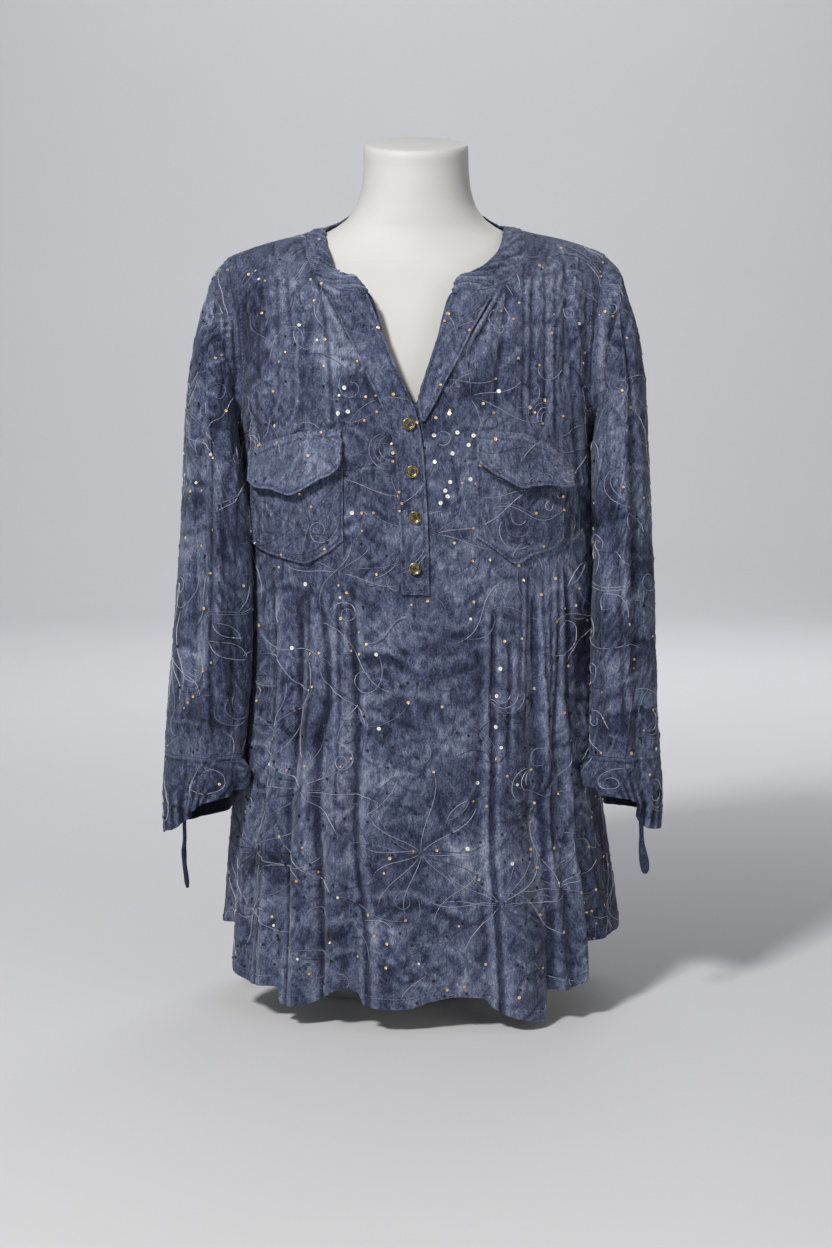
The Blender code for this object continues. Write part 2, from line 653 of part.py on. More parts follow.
def on_front(tree, x, z, lift):
    """A point on the front's own faces at x and z, moved out by lift."""
    step = 0.002
    hit = tree.ray_cast(Vector((x, -1, z)), Vector((0, 1, 0)))[0]
    slope_x = float(body(x + step, z, FRONT) - body(x - step, z, FRONT)) / (2 * step)
    slope_z = float(body(x, z + step, FRONT) - body(x, z - step, FRONT)) / (2 * step)
    out = Vector((slope_x, -1, slope_z)).normalized()
    y = hit.y if hit else float(body(x, z, FRONT))
    return Vector((x, y, z)) + out * lift


def laid_grid(tree, places, low, high):
    """Two grids on the front, low and high above it, from rows of (x, z) places going up."""
    under = np.array([[on_front(tree, x, z, low) for x, z in row] for row in places])
    over = np.array([[on_front(tree, x, z, high) for x, z in row] for row in places])
    return over, under


# ---- Neckband -------------------------------------------------------------------------------------
def band_side(panel, edge, low, high):
    """Seam points, free-edge points and normals of the band along a stretch of a panel's upper edge."""
    kept = np.flatnonzero((panel["s"] > low - 1e-6) & (panel["s"] < high + 1e-6))
    kept = kept[np.argsort(panel["s"][kept])]
    places = panel["s"][kept]
    free = np.stack([smooth(edge, column, places) for column in (1, 2, 3)], axis=1)
    return panel["outer"][-1, kept], free, panel["normals"][-1, kept]


def make_neckband(front, back):
    """One strip from its left end in front, round behind the neck, to its right end."""
    left = band_side(front, BAND_LEFT_EDGE, V_CORNER, NECK_SIDE)
    behind = band_side(back, BAND_BACK_EDGE, -NECK_SIDE + 0.01, NECK_SIDE - 0.01)
    right = band_side(front, BAND_RIGHT_EDGE, -NECK_SIDE, -V_CORNER)
    seam, free, out = (np.concatenate([a, b[::-1], c]) for a, b, c in zip(left, behind, right))
    across = free - seam
    across /= np.linalg.norm(across, axis=1, keepdims=True)
    along = np.gradient(seam, axis=0)
    away = np.cross(out, along)
    away /= np.linalg.norm(away, axis=1, keepdims=True) * np.sign((away * across).sum(1))[:, None]
    seam = seam + away * SEAM * 1.5
    free_out = np.cross(across, along)
    free_out /= np.linalg.norm(free_out, axis=1, keepdims=True)
    free_out *= np.sign((free_out * out).sum(1))[:, None]
    middle = (seam + free) / 2 + (out + free_out) * 0.0006
    outer = np.stack([seam, middle, free])
    ways = np.stack([out, (out + free_out) / 2, free_out])
    ways /= np.linalg.norm(ways, axis=-1, keepdims=True)
    inner = outer - ways * DOUBLE_WALL
    wall("neckband", outer, inner)


# ---- Plackets, pockets and flaps ------------------------------------------------------------------
def make_placket(name, tree, table, across, rows, low):
    heights = np.linspace(table[-1][0], table[0][0], rows)
    rising = table[::-1]
    inner, outer = smooth(rising, 1, heights), smooth(rising, 2, heights)
    left, right = np.minimum(inner, outer), np.maximum(inner, outer)
    places = [[(a + (b - a) * t, z) for t in np.linspace(0, 1, across)] for a, b, z in zip(left, right, heights)]
    wall(name, *laid_grid(tree, places, low, low + DOUBLE_WALL))


def make_patch(name, tree, table, x_span, rows, columns, low, thick, lift=None):
    """A patch on the front. lift is how much further its lower side edge stands off, if it does."""
    share = np.linspace(0, 1, columns) ** 1.4  # closer at the side, where the front turns away
    x = x_span[0] + (x_span[1] - x_span[0]) * share
    top, bottom = smooth(table, 1, share), smooth(table, 2, share)
    rise = np.linspace(0, 1, rows)[:, None]
    z = bottom + (top - bottom) * rise
    places = [[(a, b) for a, b in zip(x, row)] for row in z]
    over, under = laid_grid(tree, places, low, low + thick)
    if lift:
        off = lift * ease((0.45 - share[None, :]) / 0.45) * (1 - rise) ** 1.5
        over[..., 1] -= off
        under[..., 1] -= off
    if x_span[0] > x_span[1]:
        over, under = over[:, ::-1], under[:, ::-1]
    wall(name, over, under)


def make_button(name, tree, x, z, low):
    """A turned disc with a raised rim and a dished middle, facing out from the placket."""
    place = on_front(tree, x, z, low)
    out = (on_front(tree, x, z, low + 0.01) - place).normalized()
    rim, thick = BUTTON_RADIUS, BUTTON_THICK
    profile = ((0.86, 0.0), (1.0, 0.35), (1.0, 0.75), (0.90, 1.0), (0.74, 0.92), (0.60, 0.62))
    turn = Vector((0, 0, 1)).rotation_difference(out)
    angles = np.linspace(0, 2 * math.pi, BUTTON_SIDES, endpoint=False)
    rings = [
        [place + turn @ Vector((r * rim * math.cos(a), r * rim * math.sin(a), h * thick)) for a in angles]
        for r, h in profile
    ]
    solid(name, np.array(rings), "button")


# ---- Sleeves, cuffs and ties ----------------------------------------------------------------------
def armhole_ring(front, back, sign):
    """Outer and inner points round an armhole: top, down the front, underarm, up the back."""
    rings = []
    for layer in ("outer", "inner"):
        halves = []
        for panel in (front, back):
            j = int(np.argmin(np.abs(panel["s"] - sign)))
            halves.append(panel[layer][SIDE_ROWS:, j])
        down, up = halves[0][::-1], halves[1]
        top, under = (down[:1] + up[-1:]) / 2, (down[-1:] + up[:1]) / 2
        rings.append(np.concatenate([top, down[1:-1], under, up[1:-1]]))
    after = [np.roll(ring, -1, axis=0) for ring in rings]
    long = np.linalg.norm(after[0] - rings[0], axis=1) > ARM_STEP
    middles = [(ring + then) / 2 for ring, then in zip(rings, after)]
    order = np.argsort(np.concatenate([np.arange(len(long)), np.flatnonzero(long) + 0.5]))
    return [np.concatenate([ring, mid[long]])[order] for ring, mid in zip(rings, middles)]


def seam_away(ring, sign):
    """Unit directions from the armhole's edge out towards the sleeve, square to the seam."""
    along = np.roll(ring[0], -1, axis=0) - np.roll(ring[0], 1, axis=0)
    through = ring[0] - ring[1]
    away = np.cross(through, along) * sign
    return away / np.linalg.norm(away, axis=1, keepdims=True)


def sleeve_angles(ring):
    """Angle round the sleeve of each ring point: 0 outside or top, 90 front, 180 inside, 270 back."""
    low, high = ring.min(axis=0), ring.max(axis=0)
    across = (ring - (low + high) / 2) / (high - low)
    return np.arctan2(-across[:, 1], across[:, 2]) % (2 * math.pi)


def sleeve_ring(section, angles, sign):
    outer_right, outer_left, outer_z, inner_right, inner_left, inner_z, deep, y_middle, lean = section
    outer_x, inner_x = (outer_right, inner_right) if sign < 0 else (outer_left, inner_left)
    outside, inside = np.array([outer_x, outer_z]), np.array([inner_x, inner_z])
    middle, reach = (outside + inside) / 2, (outside - inside) / 2
    in_plane = middle + np.cos(angles)[:, None] * reach
    x = in_plane[:, 0] - lean * np.sin(angles)
    y = y_middle - deep * np.sin(angles)
    return np.stack([sign * x, y, in_plane[:, 1]], axis=1)


def ring_normals(rings, sign):
    """Outward unit normals of a tube's grid, whose rings follow each other down the sleeve."""
    round_it = np.roll(rings, -1, axis=1) - np.roll(rings, 1, axis=1)
    down = np.gradient(rings, axis=0)
    normals = np.cross(round_it, down) * sign
    return normals / np.linalg.norm(normals, axis=-1, keepdims=True)


def folded_tube(rings, angles, sign):
    normals = ring_normals(rings, sign)
    degrees = np.broadcast_to(np.degrees(angles), rings.shape[:2])
    z = rings[..., 2].mean(axis=1, keepdims=True) + np.zeros(rings.shape[:2])
    push = fold_push(SLEEVE_FOLDS, degrees, z, turn=True)
    push[:2] = 0
    return rings + normals * push[..., None], normals


def make_sleeve(name, front, back, sign):
    armhole = armhole_ring(front, back, sign)
    away = seam_away(armhole, sign)
    start = armhole[0] + away * SEAM
    angles = sleeve_angles(start)
    sections = [sleeve_ring(row, angles, sign) for row in SLEEVE]
    leave = sections[0] - start
    leave /= np.linalg.norm(leave, axis=1, keepdims=True)
    back_over = np.minimum((leave * away).sum(axis=1, keepdims=True) - 0.1, 0)
    turned = start + (leave - away * back_over) * TURN
    rings = np.stack([start, turned] + sections)
    outer, normals = folded_tube(rings, angles, sign)
    inner = outer - normals * WALL
    inner[0] = armhole[1] + away * SEAM
    flip = slice(None) if sign < 0 else slice(None, None, -1)
    wall(name, outer[::-1, flip], inner[::-1, flip], closed=True)
    return outer[-1], normals[-1], angles


def make_cuff(name, seam_ring, seam_normals, angles, sign):
    degrees = np.degrees(angles)
    edge_z, push = smooth(CUFF_EDGE, 1 if sign < 0 else 2, degrees), smooth(CUFF_EDGE, 3, degrees)
    top = seam_ring - np.array([0, 0, SEAM])
    middle = top.mean(axis=0)
    rows = []
    for t in np.linspace(0, 1, CUFF_ROWS + 1):
        row = middle + (top - middle) * (1 + 0.04 * math.sin(math.pi * t) - 0.03 * t)
        row = row + seam_normals * (push * t**1.5)[:, None]
        row[:, 2] = top[:, 2] + (edge_z - top[:, 2]) * t
        row[:, 0] += sign * 0.003 * t
        rows.append(row)
    outer = np.stack(rows)
    normals = ring_normals(outer, sign)
    normals[0] = seam_normals
    normals[0, :, 2] = 0
    inner = outer - normals * DOUBLE_WALL
    flip = slice(None) if sign < 0 else slice(None, None, -1)
    wall(name, outer[::-1, flip], inner[::-1, flip], closed=True)
    return (outer[-1] + inner[-1]) / 2


def make_tie(name, cuff_edge, angles, angle, route, sign):
    """A cord that hangs from a place on the cuff's edge, along a smooth curve through the route's points."""
    turns = angles % (2 * math.pi)
    order = np.argsort(turns)
    start = np.array([np.interp(math.radians(angle), turns[order], cuff_edge[order, k]) for k in range(3)])
    points = start + np.array(route) * (sign, 1, 1)
    along = np.concatenate([[0], np.cumsum(np.linalg.norm(np.diff(points, axis=0), axis=1))])
    at = np.linspace(0, along[-1], TIE_RINGS)
    line = np.stack([smooth(np.stack([along, points[:, k]], axis=1), 1, at) for k in range(3)], axis=1)
    down = np.gradient(line, axis=0)
    right = np.cross(down, (0, 1, 0))
    right /= np.linalg.norm(right, axis=1, keepdims=True)
    front = np.cross(down, right)
    front /= np.linalg.norm(front, axis=1, keepdims=True)
    round_it = np.linspace(0, 2 * math.pi, TIE_SIDES, endpoint=False)[:, None]
    rings = [
        centre + TIE_DIAMETER / 2 * (np.cos(round_it) * a + np.sin(round_it) * b)
        for centre, a, b in zip(line, right, front)
    ]
    solid(name, np.array(rings), "cloth")


# ---- Dress form -----------------------------------------------------------------------------------
def make_form():
    rings = []
    angles = np.linspace(0, 2 * math.pi, FORM_SIDES, endpoint=False)
    for z, half, front, behind, middle, power in FORM:
        lean = math.tan(math.radians(CAP_TILT)) * float(ease((z - TILT_FROM) / (FORM[-1][0] - TILT_FROM)))
        c, s = np.cos(angles), np.sin(angles)
        x = half * np.sign(c) * np.abs(c) ** (2 / power)
        y = np.where(s > 0, behind, front) * np.sign(s) * np.abs(s) ** (2 / power)
        rings.append(np.stack([x, y + middle, z + lean * y], axis=1))
    solid("form", np.array(rings), "form")


# ---- The whole part -------------------------------------------------------------------------------
def main():
    for old in list(bpy.data.objects):
        bpy.data.objects.remove(old, do_unlink=True)
    make_form()
    front = make_panel("front", FRONT)
    back = make_panel("back", BACK)
    make_neckband(front, back)
    tree = tree_of(front["object"])
    over_lift = LAID_ON + 0.0004
    make_placket("placket_over", tree, PLACKET_OVER, 4, 18, over_lift)
    make_placket("placket_under", tree, PLACKET_UNDER, 4, 9, LAID_ON)
    flap_lift = LAID_ON + WALL + 0.0008
    make_patch("pocket_r", tree, POCKET_RIGHT, POCKET_RIGHT_SPAN, 7, 11, LAID_ON, WALL)
    make_patch("pocket_l", tree, POCKET_LEFT, POCKET_LEFT_SPAN, 7, 11, LAID_ON, WALL)
    make_patch("flap_r", tree, FLAP_RIGHT, FLAP_RIGHT_SPAN, 4, 13, flap_lift, DOUBLE_WALL, lift=0.003)
    make_patch("flap_l", tree, FLAP_LEFT, FLAP_LEFT_SPAN, 4, 13, flap_lift, DOUBLE_WALL, lift=0.012)
    button_lift = over_lift + DOUBLE_WALL + 0.0005
    for number, (x, z) in enumerate(zip(BUTTON_X, BUTTON_HEIGHTS), start=1):
        make_button(f"button_{number}", tree, x, z, button_lift)
    for side, sign, route, angle in (("r", -1, TIE_RIGHT, TIE_RIGHT_ANGLE), ("l", 1, TIE_LEFT, TIE_LEFT_ANGLE)):
        ring, normals, angles = make_sleeve(f"sleeve_{side}", front, back, sign)
        edge = make_cuff(f"cuff_{side}", ring, normals, angles, sign)
        make_tie(f"tie_{side}", edge, angles, angle, route, sign)


main()
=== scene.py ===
"""Looks of a tunic top on a dress form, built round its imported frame. Metres, +Z up, front towards -Y.

The garment's own sizes are those of its solids, apart from small changes to the right flap, the cuffs'
edges and the ties. The cloth is made again from them on finer grids, with finer creases, a turned hem,
thread and sequins.
"""
import math

import bpy
import numpy as np
from mathutils import Matrix, Vector
from mathutils.bvhtree import BVHTree


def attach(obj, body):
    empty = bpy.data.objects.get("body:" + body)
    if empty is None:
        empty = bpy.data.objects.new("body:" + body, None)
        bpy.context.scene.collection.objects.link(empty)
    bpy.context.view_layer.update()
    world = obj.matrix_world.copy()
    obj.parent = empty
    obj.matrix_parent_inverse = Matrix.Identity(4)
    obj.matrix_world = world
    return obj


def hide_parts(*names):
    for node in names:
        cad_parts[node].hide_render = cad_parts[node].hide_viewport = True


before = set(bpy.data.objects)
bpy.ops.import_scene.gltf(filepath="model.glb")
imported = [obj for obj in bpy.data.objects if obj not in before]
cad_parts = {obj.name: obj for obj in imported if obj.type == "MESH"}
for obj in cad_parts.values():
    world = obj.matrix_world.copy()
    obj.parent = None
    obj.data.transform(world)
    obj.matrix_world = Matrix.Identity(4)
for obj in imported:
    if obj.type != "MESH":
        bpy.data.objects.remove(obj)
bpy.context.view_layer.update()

# ---- Photograph and camera ------------------------------------------------------------------------
PHOTO_HEIGHT = 1248  # pixels
PHOTO_MIDDLE = (416, 624)
FOCAL_PIXELS = 2316
CAMERA_DISTANCE = 2.2
CAMERA_PITCH = 6.0  # degrees down
LOOK_AT_Z = 0.3558
SENSOR = 36.0


# ---- The garment's own sizes ----------------------------------------------------------------------
WALL = 0.0012  # one layer of the cloth in the solids
DOUBLE_WALL = 0.0017  # folded and interfaced cloth: band, plackets, flaps, cuffs
SEAM = 0.0003  # clearance between two pieces that are sewn together
LAID_ON = 0.0008  # clearance under a piece that lies on the front
ROUND = 2.3  # exponent of the plan section: 2 is an ellipse, more is boxier
SHOULDER_ROUND = 0.090  # height over which the shoulders round over into front and back
UNDERARM = 0.530  # height of the lowest point of the armholes
SLEEVE_SEAM = 0.2440  # height of the seam between sleeve and cuff
BUTTON_RADIUS = 0.0058
BUTTON_THICK = 0.0026
CAP_TILT = 13.0  # degrees by which the top of the neck tips forward

FRONT, BACK = -1, 1

# The garment's body.
#  height  half width  depth in front  depth behind
BODY = (
    (0.000, 0.1950, 0.1520, 0.1490),
    (0.090, 0.1875, 0.1480, 0.1430),
    (0.140, 0.1820, 0.1450, 0.1380),
    (0.190, 0.1760, 0.1420, 0.1330),
    (0.240, 0.1725, 0.1395, 0.1280),
    (0.280, 0.1710, 0.1370, 0.1240),
    (0.400, 0.1705, 0.1320, 0.1160),
    (0.480, 0.1690, 0.1310, 0.1140),
    (0.530, 0.1670, 0.1290, 0.1150),
    (0.580, 0.1720, 0.1230, 0.1170),
    (0.640, 0.1770, 0.1100, 0.1190),
    (0.700, 0.1820, 0.0960, 0.1200),
    (0.770, 0.1850, 0.0880, 0.1210),
)
BODY_HALF, BODY_FRONT, BODY_BACK = 1, 2, 3

# How far the cloth below the arms swings to the wearer's left.
#  height  x of its middle
SWING = (
    (0.000, 0.0056),
    (0.080, 0.0047),
    (0.190, 0.0015),
    (0.250, 0.0040),
    (0.320, 0.0055),
    (0.420, 0.0055),
    (0.500, 0.0022),
    (0.540, 0.0000),
)

# The crest of the shoulders.
#  x  height
CREST = (
    (-0.200, 0.6860),
    (-0.1755, 0.7000),
    (-0.140, 0.7130),
    (-0.100, 0.7235),
    (-0.063, 0.7390),
    (-0.040, 0.7490),
    (0.000, 0.7620),
    (0.040, 0.7490),
    (0.063, 0.7395),
    (0.100, 0.7250),
    (0.140, 0.7160),
    (0.1755, 0.7035),
    (0.200, 0.6895),
)

# The armhole, as the edge of each panel.
#  height  half width of the front  half width of the back
ARMHOLE = (
    (UNDERARM, 0.1670, 0.1670),
    (0.536, 0.1652, 0.1660),
    (0.547, 0.1618, 0.1645),
    (0.568, 0.1595, 0.1640),
    (0.600, 0.1600, 0.1652),
    (0.632, 0.1628, 0.1675),
    (0.670, 0.1700, 0.1720),
    (0.700, 0.1755, 0.1755),
)
ARMHOLE_FRONT, ARMHOLE_BACK = 1, 2

# The upper edge of a panel, from shoulder tip to shoulder tip.
#  place across (0 middle, 1 the wearer's left side)  x  height
FRONT_TOP = (
    (-1.00, -0.1755, 0.7000),
    (-0.50, -0.1020, 0.7228),
    (-0.42, -0.0990, 0.6980),
    (-0.34, -0.0905, 0.6800),
    (-0.26, -0.0770, 0.6700),
    (-0.20, -0.0620, 0.6655),
    (-0.14, -0.0432, 0.6640),
    (-0.07, -0.0254, 0.6164),
    (0.00, -0.0027, 0.5645),
    (0.07, 0.0165, 0.6164),
    (0.14, 0.0325, 0.6640),
    (0.20, 0.0540, 0.6655),
    (0.26, 0.0740, 0.6700),
    (0.34, 0.0895, 0.6800),
    (0.42, 0.0985, 0.6980),
    (0.50, 0.1020, 0.7244),
    (1.00, 0.1755, 0.7035),
)
BACK_TOP = (
    (-1.00, -0.1755, 0.7000),
    (-0.50, -0.1020, 0.7228),
    (-0.42, -0.0970, 0.7185),
    (-0.32, -0.0800, 0.7190),
    (-0.17, -0.0450, 0.7260),
    (0.00, 0.0000, 0.7370),
    (0.17, 0.0450, 0.7260),
    (0.32, 0.0800, 0.7190),
    (0.42, 0.0970, 0.7185),
    (0.50, 0.1020, 0.7244),
    (1.00, 0.1755, 0.7035),
)
V_CORNER, NECK_SIDE = 0.14, 0.50

# The hem of the front, from the wearer's right side seam (-1) to the left one (1).
#  place across  height
FRONT_HEM = (
    (-1.000, 0.0700),
    (-0.885, 0.0760),
    (-0.790, 0.0800),
    (-0.765, 0.0502),
    (-0.717, 0.0378),
    (-0.610, 0.0328),
    (-0.470, 0.0346),
    (-0.446, 0.0192),
    (-0.354, 0.0215),
    (-0.296, 0.0267),
    (-0.216, 0.0385),
    (-0.165, 0.0368),
    (-0.141, 0.0250),
    (-0.028, 0.0232),
    (0.014, 0.0290),
    (0.083, 0.0329),
    (0.157, 0.0304),
    (0.184, 0.0222),
    (0.248, 0.0127),
    (0.362, 0.0070),
    (0.387, 0.0332),
    (0.471, 0.0322),
    (0.543, 0.0370),
    (0.582, 0.0705),
    (0.687, 0.0700),
    (0.884, 0.0690),
    (1.000, 0.0740),
)
BACK_HEM = (
    (-1.00, 0.0780),
    (-0.84, 0.0660),
    (-0.66, 0.0420),
    (-0.48, 0.0330),
    (-0.28, 0.0380),
    (-0.08, 0.0320),
    (0.14, 0.0380),
    (0.34, 0.0310),
    (0.56, 0.0370),
    (0.72, 0.0480),
    (0.86, 0.0640),
    (1.00, 0.0740),
)

# Folds: a trough has a negative depth and a ridge a positive one. Their places are degrees round the
# body from the middle of the panel, and they fade out over the last part of their height.
#  degrees at top  degrees at bottom  half width  depth  bottom height  top height  fade
FRONT_FOLDS = (
    (-48.0, -45.0, 2.6, -0.0024, 0.545, 0.720, 0.04),
    (-38.0, -36.5, 2.4, -0.0026, 0.545, 0.720, 0.03),
    (-31.0, -27.0, 2.4, -0.0028, 0.545, 0.700, 0.03),
    (-26.0, -21.0, 2.2, -0.0022, 0.560, 0.690, 0.03),
    (26.0, 20.0, 2.4, -0.0026, 0.560, 0.690, 0.03),
    (33.0, 33.0, 2.4, -0.0028, 0.545, 0.700, 0.03),
    (40.0, 41.0, 2.2, -0.0024, 0.545, 0.720, 0.03),
    (47.0, 49.0, 2.6, -0.0026, 0.545, 0.720, 0.04),
    (-52.0, -58.0, 4.0, -0.0050, -1.0, 0.420, 0.12),
    (-44.0, -49.0, 4.0, 0.0040, -1.0, 0.380, 0.20),
    (-36.0, -41.0, 3.0, -0.0050, -1.0, 0.440, 0.10),
    (-31.5, -34.0, 3.0, 0.0048, -1.0, 0.360, 0.16),
    (-26.0, -27.0, 3.0, -0.0074, -1.0, 0.360, 0.10),
    (-20.5, -22.0, 3.0, 0.0046, -1.0, 0.330, 0.16),
    (-16.0, -16.5, 3.2, -0.0062, -1.0, 0.410, 0.12),
    (-7.0, -7.0, 6.0, 0.0052, -1.0, 0.260, 0.20),
    (8.0, 6.0, 5.0, -0.0030, -1.0, 0.240, 0.20),
    (17.5, 14.8, 3.2, -0.0064, -1.0, 0.400, 0.12),
    (22.0, 24.5, 5.0, 0.0074, -1.0, 0.300, 0.22),
    (32.0, 34.5, 3.0, -0.0070, -1.0, 0.440, 0.12),
    (38.0, 39.5, 3.0, 0.0034, -1.0, 0.380, 0.16),
    (44.0, 45.0, 3.4, -0.0050, -1.0, 0.400, 0.14),
    (50.5, 49.5, 3.4, 0.0034, -1.0, 0.360, 0.20),
    (58.0, 55.0, 4.2, -0.0058, -1.0, 0.420, 0.14),
    (-72.0, -74.0, 6.0, -0.0060, -1.0, 0.300, 0.20),
    (72.0, 74.0, 6.0, -0.0050, -1.0, 0.300, 0.20),
)
BACK_FOLDS = (
    (-30.0, -28.0, 3.4, -0.0024, 0.560, 0.705, 0.05),
    (28.0, 29.0, 3.4, -0.0024, 0.560, 0.705, 0.05),
    (-60.0, -62.0, 5.0, -0.0050, -1.0, 0.400, 0.16),
    (-50.0, -51.0, 4.4, 0.0040, -1.0, 0.340, 0.20),
    (-40.0, -40.0, 4.4, -0.0062, -1.0, 0.440, 0.16),
    (-29.0, -28.0, 4.4, 0.0050, -1.0, 0.360, 0.22),
    (-18.0, -16.0, 4.4, -0.0058, -1.0, 0.420, 0.18),
    (-6.0, -4.0, 5.0, 0.0052, -1.0, 0.330, 0.22),
    (6.0, 8.0, 4.4, -0.0056, -1.0, 0.460, 0.18),
    (18.0, 20.0, 5.0, 0.0054, -1.0, 0.350, 0.22),
    (30.0, 32.0, 4.4, -0.0062, -1.0, 0.430, 0.16),
    (42.0, 43.0, 4.4, 0.0042, -1.0, 0.340, 0.20),
    (52.0, 54.0, 5.0, -0.0054, -1.0, 0.400, 0.16),
)

# The neckband's free edge, from its front ends over the shoulders to the middle of the back.
#  place across the panel's edge it is sewn to  x  y  z
BAND_RIGHT_EDGE = (
    (-0.50, -0.0838, -0.0060, 0.7280),
    (-0.45, -0.0830, -0.0390, 0.7150),
    (-0.39, -0.0795, -0.0600, 0.7020),
    (-0.33, -0.0757, -0.0700, 0.6907),
    (-0.28, -0.0707, -0.0790, 0.6855),
    (-0.24, -0.0646, -0.0850, 0.6822),
    (-0.20, -0.0558, -0.0895, 0.6806),
    (-0.17, -0.0475, -0.0950, 0.6730),
    (-0.14, -0.0430, -0.0985, 0.6665),
)
BAND_LEFT_EDGE = (
    (0.14, 0.0320, -0.0990, 0.6665),
    (0.17, 0.0340, -0.0970, 0.6735),
    (0.20, 0.0385, -0.0930, 0.6800),
    (0.24, 0.0480, -0.0880, 0.6835),
    (0.28, 0.0590, -0.0830, 0.6880),
    (0.33, 0.0680, -0.0740, 0.6960),
    (0.39, 0.0750, -0.0600, 0.7045),
    (0.45, 0.0795, -0.0360, 0.7180),
    (0.50, 0.0820, -0.0060, 0.7290),
)
BAND_BACK_EDGE = (
    (-0.50, -0.0835, 0.0100, 0.7290),
    (-0.42, -0.0770, 0.0300, 0.7330),
    (-0.32, -0.0620, 0.0500, 0.7430),
    (-0.17, -0.0330, 0.0640, 0.7530),
    (0.00, 0.0000, 0.0680, 0.7570),
    (0.17, 0.0330, 0.0640, 0.7530),
    (0.32, 0.0620, 0.0500, 0.7430),
    (0.42, 0.0765, 0.0300, 0.7330),
    (0.50, 0.0825, 0.0100, 0.7300),
)

# The plackets, as strips on the front between an inner and an outer edge.
#  height  inner edge x  outer edge x
PLACKET_OVER = (
    (0.6620, -0.0430, -0.0785),
    (0.6500, -0.0383, -0.0720),
    (0.6250, -0.0286, -0.0605),
    (0.6000, -0.0185, -0.0485),
    (0.5750, -0.0073, -0.0358),
    (0.5600, -0.0008, -0.0296),
    (0.5450, 0.0032, -0.0240),
    (0.5200, 0.0067, -0.0183),
    (0.4800, 0.0093, -0.0156),
    (0.4400, 0.0110, -0.0140),
    (0.3960, 0.0118, -0.0126),
)
PLACKET_UNDER = (
    (0.6610, 0.0315, 0.0670),
    (0.6500, 0.0280, 0.0610),
    (0.6250, 0.0195, 0.0478),
    (0.6000, 0.0110, 0.0345),
    (0.5800, 0.0045, 0.0238),
    (0.5680, 0.0018, 0.0180),
    (0.5580, 0.0026, 0.0125),
    (0.5500, 0.0042, 0.0080),
)

# Patch pockets and their flaps on the front, seen from the front: the wearer's right one.
#  share of the width, from the side to the middle  upper edge height  lower edge height
POCKET_RIGHT = (
    (0.00, 0.5140, 0.4400),
    (0.12, 0.5170, 0.4330),
    (0.34, 0.5210, 0.4270),
    (0.58, 0.5250, 0.4225),
    (0.80, 0.5260, 0.4310),
    (1.00, 0.5270, 0.4440),
)
FLAP_RIGHT = (
    (0.00, 0.5210, 0.4970),
    (0.10, 0.5255, 0.4900),
    (0.24, 0.5310, 0.4890),
    (0.46, 0.5370, 0.4840),
    (0.60, 0.5400, 0.4890),
    (0.78, 0.5415, 0.4985),
    (0.90, 0.5422, 0.5030),
    (0.96, 0.5425, 0.5075),
    (0.99, 0.5425, 0.5130),
    (1.00, 0.5425, 0.5190),
)
POCKET_LEFT = (
    (0.00, 0.5120, 0.4440),
    (0.14, 0.5160, 0.4350),
    (0.36, 0.5200, 0.4300),
    (0.55, 0.5230, 0.4230),
    (0.80, 0.5250, 0.4360),
    (1.00, 0.5260, 0.4470),
)
FLAP_LEFT = (
    (0.00, 0.5060, 0.4930),
    (0.12, 0.5170, 0.4925),
    (0.26, 0.5280, 0.4930),
    (0.42, 0.5345, 0.4925),
    (0.52, 0.5385, 0.4905),
    (0.68, 0.5400, 0.4970),
    (0.86, 0.5410, 0.5060),
    (1.00, 0.5420, 0.5150),
)
POCKET_RIGHT_SPAN = (-0.1500, -0.0650)  # x of its side edge and of its edge towards the middle
FLAP_RIGHT_SPAN = (-0.1500, -0.0670)
POCKET_LEFT_SPAN = (0.1330, 0.0540)
FLAP_LEFT_SPAN = (0.1400, 0.0540)

BUTTONS = 4

# A sleeve hangs from the armhole: sections from the shoulder down to the cuff.
#  outer x (right)  (left)  outer z  inner x (right)  (left)  inner z  half depth  y of the middle  lean
SLEEVE = (
    (0.1855, 0.1890, 0.6880, 0.1730, 0.1730, 0.5270, 0.0590, -0.003, 0.000),
    (0.1955, 0.1970, 0.6640, 0.1718, 0.1718, 0.5190, 0.0610, -0.009, 0.001),
    (0.2040, 0.2055, 0.6330, 0.1700, 0.1700, 0.5080, 0.0615, -0.018, 0.003),
    (0.2105, 0.2118, 0.5900, 0.1675, 0.1712, 0.4950, 0.0610, -0.027, 0.006),
    (0.2142, 0.2150, 0.5400, 0.1640, 0.1730, 0.4700, 0.0605, -0.034, 0.009),
    (0.2158, 0.2178, 0.4880, 0.1615, 0.1745, 0.4380, 0.0595, -0.040, 0.010),
    (0.2188, 0.2198, 0.4350, 0.1603, 0.1740, 0.4000, 0.0585, -0.044, 0.010),
    (0.2225, 0.2216, 0.3820, 0.1603, 0.1725, 0.3600, 0.0570, -0.047, 0.010),
    (0.2268, 0.2232, 0.3330, 0.1612, 0.1712, 0.3220, 0.0545, -0.050, 0.009),
    (0.2306, 0.2248, 0.2860, 0.1650, 0.1700, 0.2820, 0.0510, -0.053, 0.008),
    (0.2335, 0.2272, SLEEVE_SEAM, 0.1700, 0.1690, SLEEVE_SEAM, 0.0470, -0.056, 0.006),
)
